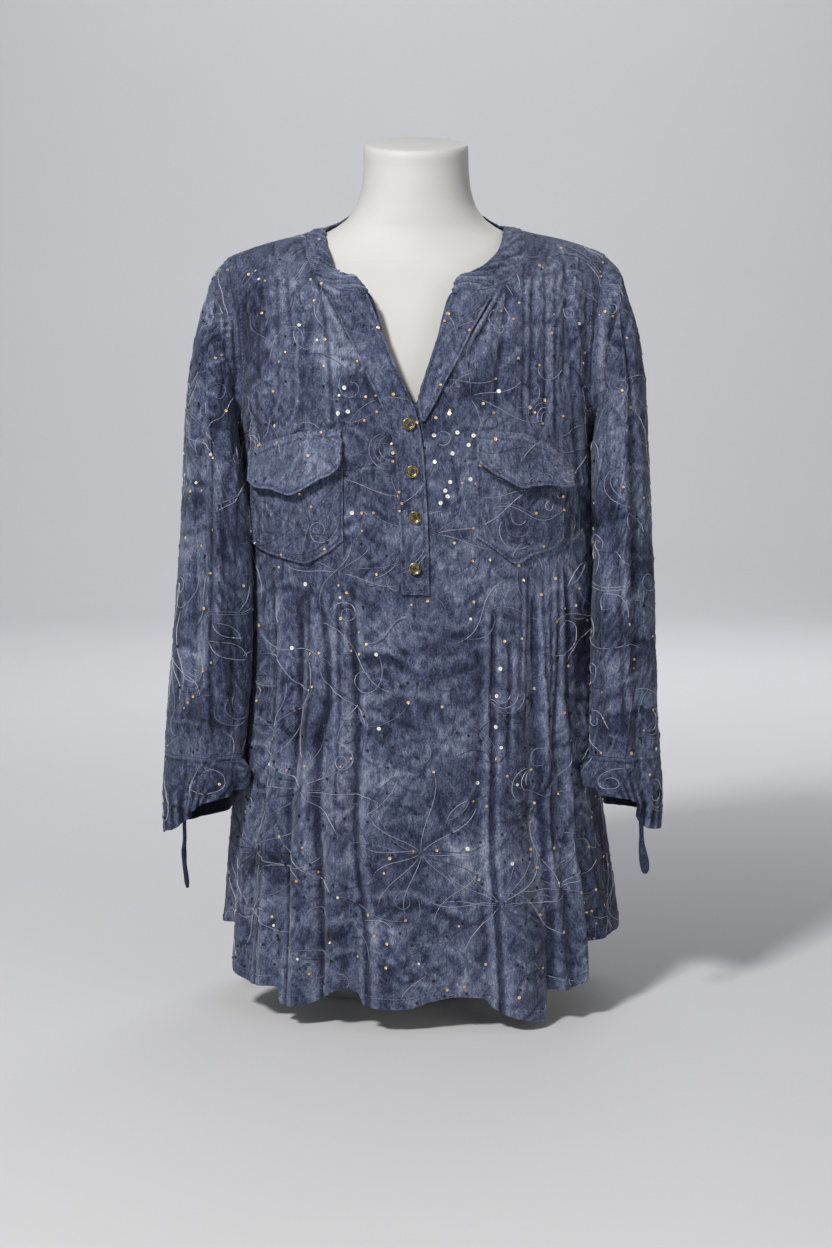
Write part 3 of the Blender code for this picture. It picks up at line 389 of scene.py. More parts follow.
# Lengthwise folds of a sleeve, in degrees round it: 0 outside, 90 front, 180 inside, 270 back.
#  degrees at top  degrees at bottom  half width  depth  bottom height  top height  fade
SLEEVE_FOLDS = (
    (52.0, 66.0, 14.0, -0.0056, 0.150, 0.660, 0.07),
    (84.0, 98.0, 14.0, 0.0036, 0.200, 0.560, 0.10),
    (116.0, 126.0, 14.0, -0.0044, 0.190, 0.520, 0.08),
    (24.0, 24.0, 14.0, 0.0026, 0.210, 0.480, 0.10),
    (228.0, 240.0, 14.0, -0.0044, 0.190, 0.560, 0.10),
    (290.0, 286.0, 14.0, -0.0044, 0.170, 0.640, 0.10),
    (258.0, 262.0, 14.0, 0.0030, 0.200, 0.520, 0.10),
)

# The cuff's lower edge, drawn up in front where the tie gathers it.
#  degrees round the sleeve  height on the wearer's right  and on the left  outward push of the edge
CUFF_EDGE = (
    (0.0, 0.1705, 0.1825, 0.0005),
    (12.0, 0.1705, 0.1812, 0.0010),
    (24.0, 0.1715, 0.1742, 0.0020),
    (44.0, 0.1755, 0.1755, 0.0010),
    (58.0, 0.1830, 0.1800, -0.0040),
    (72.0, 0.1910, 0.2000, 0.0030),
    (88.0, 0.1980, 0.2045, -0.0030),
    (106.0, 0.2040, 0.2070, 0.0030),
    (126.0, 0.2090, 0.2110, -0.0020),
    (146.0, 0.2115, 0.2140, 0.0010),
    (166.0, 0.2090, 0.2120, -0.0010),
    (186.0, 0.2020, 0.2060, 0.0010),
    (208.0, 0.1920, 0.1955, -0.0020),
    (236.0, 0.1780, 0.1860, 0.0020),
    (275.0, 0.1710, 0.1820, -0.0010),
    (320.0, 0.1705, 0.1825, 0.0005),
    (360.0, 0.1660, 0.1790, 0.0005),
)
TURN = 0.003  # length over which a sleeve turns away from the armhole

# The tie ends, hanging from the front of the cuff's lower edge.
#  outwards from the body  y  z
TIE_RIGHT = (
    (0.0004, 0.0034, 0.0085),
    (0.0001, 0.0024, 0.0015),
    (0.0000, 0.0000, -0.0036),
    (-0.0002, -0.0008, -0.0140),
    (0.0004, -0.0010, -0.0260),
    (0.0002, -0.0006, -0.0380),
    (-0.0012, -0.0004, -0.0500),
    (-0.0024, -0.0006, -0.0620),
)
TIE_LEFT = (
    (-0.0012, 0.0010, 0.0225),
    (-0.0008, -0.0022, 0.0160),
    (-0.0004, -0.0032, 0.0060),
    (0.0000, -0.0032, -0.0040),
    (0.0002, -0.0030, -0.0100),
    (0.0006, -0.0024, -0.0180),
    (0.0020, -0.0018, -0.0280),
    (0.0036, -0.0012, -0.0380),
    (0.0044, -0.0008, -0.0460),
)
TIE_RIGHT_ANGLE, TIE_LEFT_ANGLE = 56.0, 57.0  # degrees round the cuff

# The dress form, as level sections.
#  height  half width  depth in front  depth behind  y of the middle  exponent
FORM = (
    (0.0000, 0.1130, 0.0320, 0.1000, 0.000, 2.3),
    (0.0060, 0.1190, 0.0370, 0.1050, 0.000, 2.3),
    (0.0400, 0.1370, 0.0680, 0.1120, 0.000, 2.3),
    (0.0900, 0.1490, 0.0940, 0.1170, 0.000, 2.3),
    (0.1500, 0.1530, 0.1050, 0.1160, 0.000, 2.3),
    (0.2200, 0.1490, 0.1050, 0.1080, 0.000, 2.3),
    (0.3000, 0.1400, 0.1000, 0.0950, 0.000, 2.3),
    (0.3700, 0.1350, 0.0980, 0.0900, 0.000, 2.3),
    (0.4300, 0.1380, 0.1060, 0.0920, 0.000, 2.3),
    (0.4800, 0.1430, 0.1140, 0.0960, 0.000, 2.3),
    (0.5300, 0.1460, 0.1150, 0.1000, 0.000, 2.3),
    (0.5800, 0.1480, 0.1070, 0.1030, 0.000, 2.2),
    (0.6200, 0.1510, 0.0970, 0.1030, 0.000, 2.1),
    (0.6500, 0.1560, 0.0880, 0.1010, 0.000, 2.0),
    (0.6700, 0.1610, 0.0790, 0.0970, 0.000, 1.9),
    (0.6840, 0.1640, 0.0690, 0.0890, 0.000, 1.8),
    (0.6940, 0.1620, 0.0620, 0.0830, 0.000, 1.7),
    (0.7020, 0.1480, 0.0580, 0.0770, 0.000, 1.7),
    (0.7090, 0.1260, 0.0560, 0.0730, 0.000, 1.7),
    (0.7160, 0.1030, 0.0545, 0.0690, 0.000, 1.75),
    (0.7240, 0.0815, 0.0530, 0.0650, 0.000, 1.85),
    (0.7340, 0.0655, 0.0520, 0.0610, -0.001, 2.0),
    (0.7480, 0.0555, 0.0510, 0.0570, -0.002, 2.0),
    (0.7650, 0.0505, 0.0500, 0.0530, -0.004, 2.0),
    (0.7850, 0.0488, 0.0490, 0.0500, -0.006, 2.0),
    (0.8000, 0.0484, 0.0485, 0.0490, -0.008, 2.0),
    (0.8032, 0.0474, 0.0475, 0.0480, -0.008, 2.0),
    (0.8040, 0.0452, 0.0453, 0.0458, -0.008, 2.0),
)
TILT_FROM = 0.765  # height above which the neck's sections lean with the cap

# ---- Finer sizes of the cloth ---------------------------------------------------------------------
MM = 0.001
CLOTH_THICK = 0.0008
BAND_THICK = 0.0014
CUFF_THICK = 0.0014
WALL_SHARE = 0.8  # thickness of plackets, pockets and flaps, as a share of what their solids have
DEEPEST_INSIDE = 0.003  # most that a wall is thickened beside a trough
SHARP_ANGLE = 50.0  # degrees between faces from which an edge is sharp

# Sleeves and cuffs against the body.
AGAINST_BODY = 0.0012  # clearance
BODY_REACH = 0.022  # how far outside a sleeve's inner side the search for the body starts
BODY_CLOSER = 0.010  # how far the inner side may move towards the body
INNER_FROM, INNER_OVER = 0.35, 0.5  # inward lean from which, and over which, a side counts as inner
SLEEVE_FREE_ROWS, BODY_ROWS = 16, 16  # rows that stay, and rows over which the move sets in

# Hems, seams and stitch lines. Lines of stitches are given by their distance from the edge.
HEM_TURN, HEM_THICK = 0.0095, 0.0005
ARMHOLE_STITCH, PATCH_STITCH, FLAP_STITCH = 0.0035, 0.0032, 0.0068
BAND_STITCH, PLACKET_STITCH = 0.0026, 0.003
STITCH_DEPTH = 0.0004
SEAM_DEPTH, SEAM_GROOVE = 0.0008, 0.0009  # depth and half width of a sunk line of stitches
SEAM_FADE = 0.004  # length over which creases set in beside a sleeve's or a cuff's seam
BAND_PUFF, BAND_GROOVE = 0.0010, 0.0008  # how far the band swells, and sinks beside its seam

# Creases and the small ones all over.
CRUMPLE_SPREAD = 50.0  # degrees by which small creases turn from their main direction
CRUMPLE_LENGTHS, CRUMPLE_WIDTHS = (0.006, 0.026), (0.0011, 0.0026)  # half of each, least and most
CRUMPLE_SIZES = (0.3, 1.0)  # shares of the full depth, least and most
CRUMPLE_BEND = 9  # most, for each metre of length squared
#  mean distance of small creases  full depth
CLOTH_CRUMPLE = (0.0095, 0.0007)
BAND_CRUMPLE = (0.006, 0.0006)
PATCH_CRUMPLE = (0.007, 0.0004)
CUFF_CRUMPLE = (0.006, 0.0005)
PANEL_CREASE_SEED, BAND_CREASE_SEED, SLEEVE_CREASE_SEED, CUFF_CREASE_SEED = 11, 31, 41, 61
METRES_A_DEGREE = 0.0027  # round the body
FOLDS_SET_IN, FINE_SET_IN = (0.12, 0.04), (0.03, 0.012)  # shares of a panel's width and height
SLEEVE_FOLDS_SET_IN = 0.08  # share of a sleeve's length
# The relief colours the cloth as painted shade and light: darker in its troughs, paler on its ridges.
RELIEF_SPREAD = 8  # times that relief is smoothed for its middle level
RELIEF_FULL = 0.0006  # relief that is shaded fully dark or pale
WIDER_WHEN_DEEP = 0.26  # a crease's growth in width for each mm of its depth
CREASE_CORE = 0.18  # how much deeper a crease's narrow middle is
CREASE_FADE = 26.0  # pixels over which a crease sets in
RIDGE_OFF, RIDGE_WIDTH = 2.2, 1.5  # place and half width of its ridge, in half widths of the crease
GATHERS, GATHER_DEPTH = 17, 0.0012  # of a cuff
CUFF_BULGE, CUFF_DRAWN_IN = 0.04, 0.03  # shares by which it is wider halfway down, and narrower below
CUFF_OUTWARD = 0.003  # how much further from the body its edge hangs than its seam
TIE_RUMPLE = 0.12

# Grids.
PANEL_COLUMNS = ((26, V_CORNER), (72, NECK_SIDE), (80, 1))
PANEL_ROWS = ((12, 0.0205), (206, 1))
BAND_COLUMNS, BAND_ROWS = 421, 17
PLACKET_COLUMNS = 23
PLACKET_SPREAD, PATCH_SPREAD = 4, 3  # times that the front under a piece is smoothed
SLEEVE_COLUMNS, SLEEVE_ROWS = 220, 191
CUFF_GRID_ROWS = 37
TIE_GRID_RINGS, TIE_GRID_SIDES = 60, 16
FORM_ROWS, FORM_GRID_SIDES = 96, 120

# What lies on the front.
OVER_LIFT = LAID_ON + 0.0004
FLAP_LIFT = LAID_ON + WALL + 0.0008
#  name  table  grid rows  clearance  seed of its creases
PLACKETS = (
    ("placket_over", PLACKET_OVER, 151, OVER_LIFT, 71),
    ("placket_under", PLACKET_UNDER, 71, LAID_ON, 72),
)
CORNER_SHARE = 0.45  # share of a patch's width over which its side corner stands off
NOT_OFF = (0.0, 0.0)
#  name  table  x of its edges  grid rows and columns  clearance  thickness  seed of its creases
#  how far its lower side corner and its lower edge stand off  shade  upper line of stitches
PATCHES = (
    ("pocket_r", POCKET_RIGHT, POCKET_RIGHT_SPAN, (61, 71), LAID_ON, WALL, 73, NOT_OFF, 0.0, 0.0),
    ("pocket_l", POCKET_LEFT, POCKET_LEFT_SPAN, (61, 71), LAID_ON, WALL, 74, NOT_OFF, 0.0, 0.0),
    ("flap_r", FLAP_RIGHT, FLAP_RIGHT_SPAN, (41, 81), FLAP_LIFT, DOUBLE_WALL, 75, (0.005, 0.0078),
     0.45, FLAP_STITCH),
    ("flap_l", FLAP_LEFT, FLAP_LEFT_SPAN, (41, 81), FLAP_LIFT, DOUBLE_WALL, 76, (0.027, 0.0068),
     0.35, FLAP_STITCH),
)

# Creases, from their places in the photograph.
#  depth in mm  half width in pixels  side of the ridge (1 right, -1 left)  path down: (y, x) in pixels
FRONT_CREASES = (
    (3.6, 2.2, -0.5, ((600, 318), (692, 321), (748, 313), (824, 313), (912, 315), (970, 314), (1090, 313))),
    (3.2, 2.2, 0.5, ((580, 345), (692, 349), (765, 352), (853, 353), (941, 361), (1000, 362), (1090, 363))),
    (2.6, 2.0, 0.5, ((610, 293), (736, 290), (795, 285), (883, 282), (985, 279), (1090, 277))),
    (1.2, 2.2, -0.4, ((600, 331), (690, 333), (760, 332), (850, 334))),
    (1.0, 2.0, 0.4, ((575, 303), (640, 302), (700, 303), (760, 300))),
    (2.2, 2.0, 0.5, ((570, 266), (683, 267), (760, 262), (860, 258), (970, 250), (1090, 248))),
    (0.9, 2.0, -0.4, ((575, 325), (613, 325), (650, 326))),
    (0.9, 1.8, 0.4, ((580, 313), (620, 317), (660, 320))),
    (3.2, 1.7, -0.6,
     ((600, 488), (629, 488), (710, 488), (770, 490), (860, 491), (920, 493), (1003, 496), (1100, 497))),
    (1.5, 1.6, 0.5, ((632, 505), (644, 504), (690, 504), (737, 503), (775, 504))),
    (3.8, 2.3, -0.5,
     ((590, 529), (635, 531), (710, 533), (785, 538), (860, 544), (950, 548), (1018, 549), (1100, 549))),
    (1.8, 2.0, 0.5, ((560, 553), (650, 553), (728, 551), (790, 550), (880, 553))),
    (3.4, 2.2, -0.5,
     ((560, 560), (620, 563), (680, 563), (755, 571), (830, 578), (905, 584), (977, 588), (1090, 592))),
    (1.2, 2.2, 0.4, ((600, 588), (690, 590), (780, 592), (880, 600), (960, 606))),
    (0.9, 1.5, 0.4, ((560, 523), (590, 523), (640, 522), (690, 521), (750, 520))),
    (1.0, 1.4, -0.4, ((562, 537), (600, 538), (650, 540), (700, 543), (760, 548))),
    (0.9, 1.4, 0.4, ((560, 545), (600, 545), (660, 546), (710, 545))),
    (0.8, 1.5, 0.4, ((565, 514), (600, 515), (650, 515), (700, 513))),
    (1.3, 2.2, -0.5, ((268, 277), (300, 277), (345, 277), (400, 276))),
    (1.2, 2.0, 0.5, ((258, 285), (300, 287), (350, 291), (420, 292))),
    (1.1, 2.0, 0.5, ((262, 297), (300, 299), (345, 300), (425, 299))),
    (1.8, 3.4, -0.5, ((300, 309), (330, 307), (370, 304), (420, 301), (470, 300))),
    (1.6, 2.0, 0.5, ((262, 313), (300, 321), (350, 327), (400, 331), (440, 334))),
    (3.0, 1.7, -0.5, ((272, 315), (290, 325), (310, 337), (330, 347), (352, 357))),
    (2.4, 1.5, 0.5, ((280, 326), (300, 335), (322, 345), (345, 353))),
    (1.0, 2.2, 0.4, ((270, 262), (330, 259), (400, 258), (450, 259))),
    (1.2, 2.6, 0.4, ((262, 243), (320, 245), (380, 247), (440, 248), (520, 249))),
    (1.3, 2.0, 0.5, ((252, 524), (300, 525), (360, 524), (430, 523))),
    (1.4, 2.0, -0.5, ((256, 535), (300, 534), (360, 533), (430, 531))),
    (1.2, 2.0, 0.5, ((258, 545), (320, 546), (380, 546), (440, 545))),
    (1.3, 2.0, -0.5, ((262, 556), (320, 557), (380, 556), (450, 556))),
    (1.4, 2.4, 0.5, ((262, 568), (320, 570), (380, 573), (450, 576), (540, 580))),
    (1.0, 2.4, -0.4, ((280, 588), (340, 586), (420, 587), (500, 590))),
    (3.2, 1.8, 0.5, ((280, 500), (300, 489), (325, 473), (350, 455), (372, 444))),
    (2.4, 1.6, -0.5, ((276, 508), (300, 498), (330, 482), (356, 466))),
    (1.0, 2.2, -0.4, ((262, 510), (320, 505), (380, 498), (425, 494))),
)
BACK_CREASES = (
    (2.4, 2.6, -0.5, ((610, 300), (700, 298), (800, 293), (900, 288), (1100, 283))),
    (2.2, 2.4, 0.5, ((560, 340), (660, 341), (780, 338), (900, 334), (1100, 331))),
    (1.4, 2.2, -0.5, ((620, 372), (720, 374), (830, 371), (950, 374))),
    (2.6, 2.8, 0.5, ((570, 412), (690, 410), (800, 413), (920, 417), (1100, 420))),
    (1.5, 2.2, 0.5, ((640, 452), (740, 455), (850, 453), (960, 456))),
    (2.3, 2.4, -0.5, ((580, 494), (690, 496), (800, 500), (910, 506), (1100, 512))),
    (2.5, 2.6, 0.5, ((600, 540), (700, 541), (810, 548), (920, 555), (1100, 561))),
    (1.3, 2.2, 0.4, ((620, 268), (720, 262), (830, 257), (950, 250))),
    (1.3, 2.2, -0.4, ((620, 580), (720, 586), (830, 592), (950, 598))),
    (1.4, 2.2, 0.5, ((300, 330), (360, 333), (430, 334), (500, 332))),
    (1.2, 2.0, -0.5, ((292, 352), (350, 353), (420, 355), (480, 353))),
    (1.3, 2.2, 0.5, ((290, 470), (350, 468), (420, 467), (490, 469))),
    (1.2, 2.0, -0.5, ((296, 492), (360, 491), (430, 489), (480, 490))),
    (1.2, 2.6, 0.4, ((290, 252), (350, 254), (430, 258), (520, 256))),
    (1.3, 2.6, -0.4, ((300, 584), (370, 581), (440, 578), (530, 580))),
)
SLEEVE_CREASES = (
    (4.0, 2.2, 0.4, ((300, 217), (380, 215), (450, 212), (560, 211), (660, 210), (745, 213))),
    (1.5, 2.2, -0.5, ((300, 226), (350, 224), (420, 222), (500, 222), (590, 224))),
    (1.4, 2.2, 0.5, ((270, 236), (330, 236), (400, 236))),
    (1.1, 2.4, -0.5, ((350, 200), (430, 197), (520, 193), (600, 192), (680, 188))),
    (1.2, 2.2, 0.4, ((460, 228), (560, 230), (640, 228), (730, 226))),
    (1.0, 2.2, 0.4, ((560, 182), (640, 180), (720, 177))),
    (4.2, 2.2, -0.4, ((290, 611), (400, 613), (480, 615), (580, 619), (680, 623), (740, 625))),
    (1.6, 2.4, 0.5, ((300, 628), (360, 631), (430, 634), (520, 637), (600, 638))),
    (1.4, 2.4, -0.5, ((420, 648), (500, 652), (580, 656), (680, 659), (750, 660))),
    (1.1, 2.4, 0.4, ((540, 605), (620, 607), (700, 609), (750, 610))),
    (1.2, 2.4, 0.5, ((290, 612), (340, 608), (400, 607))),
)
#  x and y in pixels  degrees up to the right  half length  half width in pixels  push in mm  bend
FRONT_WRINKLES = (
    (372, 648, -8, 34, 4.0, 1.0, 0.3), (380, 661, -12, 38, 4.5, -1.3, 0.3),
    (445, 660, 10, 30, 4.0, 1.1, -0.3), (440, 676, 8, 34, 4.0, -1.2, -0.3),
    (402, 694, -4, 42, 5.0, 1.1, 0.2), (455, 704, 12, 26, 3.5, -0.9, -0.2),
    (370, 716, -16, 24, 3.5, 0.9, 0.3), (420, 740, 6, 36, 5.0, -0.8, 0.2),
    (330, 700, 20, 14, 2.6, -1.0, 0.0), (300, 705, 5, 12, 2.4, 0.9, 0.0),
    (400, 893, -4, 36, 4.5, 1.1, 0.3), (410, 906, -2, 42, 4.5, -1.5, 0.3),
    (460, 912, 10, 22, 3.6, 1.1, -0.3), (350, 905, 8, 16, 3.0, -1.0, 0.0),
    (340, 922, 6, 18, 3.0, 1.1, 0.0), (336, 936, -5, 16, 2.6, -1.1, 0.0),
    (330, 952, 4, 18, 2.8, 1.1, 0.0), (440, 950, -22, 24, 3.6, 0.8, 0.2),
    (395, 964, 24, 22, 3.4, -0.8, 0.2), (420, 820, -10, 26, 4.0, 0.7, 0.2),
    (385, 780, 30, 22, 3.6, 0.7, 0.2), (515, 800, 20, 14, 2.6, 0.9, 0.0),
    (518, 820, 16, 14, 2.6, -0.9, 0.0), (512, 860, 12, 16, 2.8, 0.8, 0.0),
    (560, 745, 10, 14, 2.4, -0.9, 0.0), (575, 690, -6, 16, 2.8, 1.0, 0.0),
    (582, 700, -8, 18, 2.6, -1.1, 0.0), (590, 758, -6, 12, 2.4, 1.2, 0.0),
    (585, 766, -4, 14, 2.4, -1.2, 0.0), (255, 690, 8, 14, 2.6, -1.0, 0.0),
    (260, 745, -10, 18, 3.0, 0.9, 0.0), (245, 800, 12, 14, 3.0, -0.8, 0.0),
    (262, 905, 14, 16, 3.0, 0.9, 0.0), (257, 925, 8, 18, 3.0, -0.9, 0.0),
    (575, 800, -14, 12, 2.6, 0.8, 0.0), (605, 860, 12, 12, 2.8, -0.8, 0.0),
    (375, 352, -30, 22, 2.8, 0.9, 0.2), (390, 374, -32, 20, 2.6, -0.9, 0.2),
    (372, 330, -34, 18, 2.6, -0.8, 0.2), (440, 392, 34, 18, 2.6, 0.9, 0.2),
    (452, 375, 38, 18, 2.6, -0.8, 0.2), (250, 300, 62, 22, 3.0, 0.9, 0.2),
    (262, 360, 58, 24, 3.0, -0.9, 0.2), (248, 410, 70, 20, 3.0, 0.9, 0.0),
    (590, 330, -62, 22, 3.0, 0.9, 0.0), (580, 380, -66, 26, 3.0, -0.9, 0.0),
    (360, 470, 20, 20, 3.0, 0.7, 0.2), (365, 510, -24, 22, 3.0, -0.7, 0.2),
    (370, 560, 14, 22, 3.2, 0.8, 0.2), (455, 500, 22, 20, 3.0, -0.7, 0.2),
    (455, 545, -18, 22, 3.0, 0.8, 0.2), (270, 590, 10, 16, 2.8, -0.9, 0.0),
    (470, 600, 30, 18, 3.0, 0.7, 0.0), (350, 605, -20, 18, 3.0, 0.7, 0.0),
)
BACK_WRINKLES = (
    (380, 560, -8, 36, 4.5, 1.1, 0.3), (452, 572, 8, 34, 4.5, -1.1, 0.3),
    (415, 600, 2, 44, 5.0, 1.1, -0.2), (340, 640, -14, 26, 4.0, -0.9, 0.2),
    (480, 650, 16, 26, 4.0, 0.9, 0.2), (400, 690, 6, 34, 4.5, -1.0, 0.2),
    (300, 700, 10, 18, 3.2, 0.9, 0.0), (540, 710, -8, 18, 3.2, -0.9, 0.0),
    (440, 770, -6, 34, 4.5, 0.9, 0.3), (370, 800, 10, 26, 4.0, -0.8, 0.2),
    (300, 830, -6, 20, 3.2, 0.9, 0.0), (530, 840, 10, 22, 3.4, -0.9, 0.0),
    (410, 880, 2, 42, 5.0, 1.2, 0.2), (450, 905, 8, 28, 4.0, -1.1, 0.2),
    (350, 930, -10, 20, 3.4, 0.9, 0.0), (500, 945, 14, 20, 3.4, -0.9, 0.0),
    (290, 940, 6, 18, 3.2, 1.0, 0.0), (560, 780, -4, 16, 3.0, 1.0, 0.0),
    (360, 420, -18, 26, 3.6, 0.8, 0.2), (470, 430, 18, 26, 3.6, -0.8, 0.2),
    (415, 380, 3, 40, 4.5, 0.9, 0.2), (415, 470, -3, 40, 4.5, -0.9, 0.2),
    (280, 380, 56, 24, 3.2, 0.9, 0.0), (560, 390, -56, 24, 3.2, -0.9, 0.0),
    (270, 450, 62, 22, 3.2, -0.9, 0.0), (570, 460, -60, 22, 3.2, 0.9, 0.0),
)
SLEEVE_WRINKLES = (
    (206, 342, 48, 15, 2.4, -1.5, 0.3), (214, 360, 40, 12, 2.4, 1.2, 0.0),
    (205, 395, -30, 12, 2.6, -0.9, 0.0), (198, 440, 24, 14, 2.8, 1.0, 0.0),
    (190, 482, -6, 14, 2.6, -1.4, 0.0), (190, 490, -8, 14, 2.4, 1.1, 0.0),
    (196, 530, 18, 16, 3.0, -0.9, 0.0), (186, 575, -22, 14, 3.0, 0.9, 0.0),
    (200, 612, 30, 16, 3.0, -1.0, 0.0), (190, 655, -30, 18, 3.0, 1.0, 0.0),
    (206, 690, 34, 16, 3.0, -1.0, 0.0), (186, 722, -12, 16, 2.8, 1.0, 0.0),
    (222, 700, -40, 14, 2.8, 0.9, 0.0), (228, 640, -50, 14, 2.8, -0.9, 0.0),
    (622, 345, -46, 15, 2.4, -1.4, 0.3), (615, 372, -38, 12, 2.4, 1.1, 0.0),
    (632, 420, 28, 14, 2.8, -0.9, 0.0), (640, 468, -18, 14, 2.8, 1.0, 0.0),
    (628, 515, 20, 16, 3.0, -1.0, 0.0), (642, 556, -10, 14, 2.6, 1.0, 0.0),
    (634, 600, 26, 16, 3.0, 1.0, 0.0), (645, 642, -24, 16, 3.0, -1.0, 0.0),
    (630, 680, 22, 16, 2.8, 1.1, 0.0), (640, 712, 8, 16, 2.6, -1.2, 0.0),
    (622, 738, -16, 14, 2.4, 1.0, 0.0), (612, 700, 40, 12, 2.6, -0.9, 0.0),
)
# Broad darker and paler areas of the dyeing; on the front and the sleeves some dark ones are painted shade:
# at the front's sides by the sleeves and below them, and on the sleeves' inner sides.
#  x and y in pixels  half width  half height  shade (below 0 dark)
FRONT_DYE_AND_SHADE = (
    (250, 300, 22, 46, -1.0), (232, 330, 14, 30, -0.6), (225, 382, 14, 26, -0.6), (240, 655, 16, 60, -0.7),
    (293, 533, 18, 22, -0.7), (304, 625, 14, 24, -1.0), (298, 600, 10, 12, -0.7), (307, 733, 16, 20, -1.0),
    (363, 667, 16, 20, -0.9), (410, 722, 34, 14, -1.0), (400, 700, 22, 12, -0.5), (262, 863, 24, 16, -1.0),
    (413, 857, 12, 18, -0.8), (320, 938, 26, 14, -0.9), (432, 420, 18, 16, -0.7), (480, 385, 24, 22, -0.9),
    (365, 390, 38, 16, -0.9), (350, 420, 26, 14, -0.6), (580, 640, 14, 40, -0.9), (560, 950, 22, 24, -0.7),
    (607, 880, 16, 80, -0.9), (372, 296, 14, 16, -0.8), (309, 372, 10, 50, -0.7), (440, 800, 14, 10, -0.4),
    (545, 800, 12, 40, -0.5), (500, 720, 12, 20, -0.4), (430, 655, 40, 8, -0.5), (345, 560, 14, 18, -0.4),
    (287, 280, 18, 16, 0.8), (325, 345, 18, 36, 0.7), (258, 470, 14, 28, 0.5), (412, 450, 14, 20, 0.7),
    (497, 430, 18, 14, 0.6), (497, 495, 22, 22, 0.7), (556, 280, 18, 30, 0.5), (450, 580, 26, 22, 0.6),
    (503, 590, 16, 20, 0.5), (304, 628, 12, 14, 0.5), (380, 780, 30, 24, 0.7), (372, 820, 22, 20, 0.6),
    (470, 862, 18, 26, 1.0), (388, 936, 20, 14, 0.7), (463, 985, 24, 20, 0.5), (300, 460, 30, 14, 0.5),
    (345, 860, 10, 14, 0.8), (300, 780, 12, 30, 0.4), (455, 745, 26, 16, 0.6), (530, 880, 12, 40, 0.4),
    (390, 640, 26, 10, 0.5), (440, 350, 16, 14, 0.4), (240, 950, 18, 16, 0.4), (345, 740, 8, 30, 0.5),
)
BACK_DYE = (
    (270, 330, 26, 44, -0.9), (560, 300, 22, 34, -0.7), (400, 330, 40, 18, -0.8), (330, 470, 26, 34, -0.8),
    (500, 440, 30, 24, -0.8), (420, 560, 30, 20, -0.9), (290, 640, 20, 40, -0.8), (540, 650, 24, 34, -0.9),
    (380, 740, 34, 20, -0.9), (470, 820, 24, 26, -0.8), (290, 850, 28, 20, -0.9), (560, 870, 22, 34, -0.8),
    (400, 930, 28, 18, -0.8), (330, 950, 20, 14, -0.5), (320, 300, 22, 18, 0.7), (480, 320, 22, 26, 0.7),
    (400, 430, 26, 30, 0.7), (270, 500, 20, 30, 0.6), (560, 520, 18, 34, 0.6), (350, 600, 26, 20, 0.7),
    (480, 640, 22, 26, 0.7), (330, 770, 20, 28, 0.7), (430, 700, 26, 16, 0.6), (520, 760, 18, 24, 0.6),
    (420, 860, 22, 22, 0.8), (350, 880, 16, 20, 0.6), (480, 930, 24, 18, 0.7), (260, 940, 20, 18, 0.5),
)
# The dark areas on the sleeves' inner sides are painted shade.
SLEEVE_DYE_AND_SHADE = (
    (190, 360, 16, 18, -0.7), (222, 420, 14, 50, -0.7), (185, 500, 16, 18, -0.9), (215, 550, 16, 26, -0.8),
    (180, 600, 14, 26, -0.7), (220, 640, 14, 40, -0.8), (200, 720, 26, 22, -0.9), (180, 425, 12, 24, 0.8),
    (196, 650, 10, 26, 1.2), (200, 470, 12, 14, 0.6), (190, 545, 12, 18, 0.6), (205, 300, 14, 20, 0.3),
    (625, 360, 14, 24, -0.8), (640, 440, 14, 20, -0.6), (612, 500, 12, 30, -0.8), (645, 560, 14, 24, -0.8),
    (615, 620, 12, 22, -0.7), (640, 650, 16, 14, -0.8), (625, 725, 30, 18, -1.0), (632, 400, 12, 20, 0.6),
    (630, 480, 14, 20, 0.6), (640, 520, 12, 20, 0.5), (622, 590, 14, 20, 0.7), (617, 667, 12, 14, 0.8),
    (640, 698, 14, 12, 0.8), (590, 300, 12, 30, 0.4),
)
# A panel's tables.
PANEL_TABLES = {
    FRONT: (FRONT_TOP, FRONT_HEM, FRONT_FOLDS, FRONT_CREASES, FRONT_WRINKLES),
    BACK: (BACK_TOP, BACK_HEM, BACK_FOLDS, BACK_CREASES, BACK_WRINKLES),
}
# The ties.
#  share of the length  width  thickness  twist in degrees
TIE_RIGHT_WIDTHS = (
    (0.00, 0.0034, 0.0030, 0.0),
    (0.35, 0.0040, 0.0034, 60.0),
    (0.50, 0.0058, 0.0040, 120.0),
    (0.68, 0.0042, 0.0034, 160.0),
    (0.92, 0.0046, 0.0034, 180.0),
    (1.00, 0.0024, 0.0020, 180.0),
)
TIE_LEFT_WIDTHS = (
    (0.00, 0.0056, 0.0036, 0.0),
    (0.45, 0.0042, 0.0036, 0.0),
    (0.85, 0.0088, 0.0040, 0.0),
    (0.96, 0.0070, 0.0036, 0.0),
    (1.00, 0.0030, 0.0020, 0.0),
)


def srgb(*levels):
    """Linear colour of 8-bit display levels."""
    parts = [level / 255 for level in levels]
    return tuple(p / 12.92 if p <= 0.04045 else ((p + 0.055) / 1.055) ** 2.4 for p in parts)


CLOTH_COLOURS = (
    (0.00, srgb(16, 18, 32)),
    (0.20, srgb(34, 39, 60)),
    (0.38, srgb(52, 59, 83)),
    (0.55, srgb(76, 84, 109)),
    (0.74, srgb(104, 112, 136)),
    (0.95, srgb(144, 150, 169)),
)
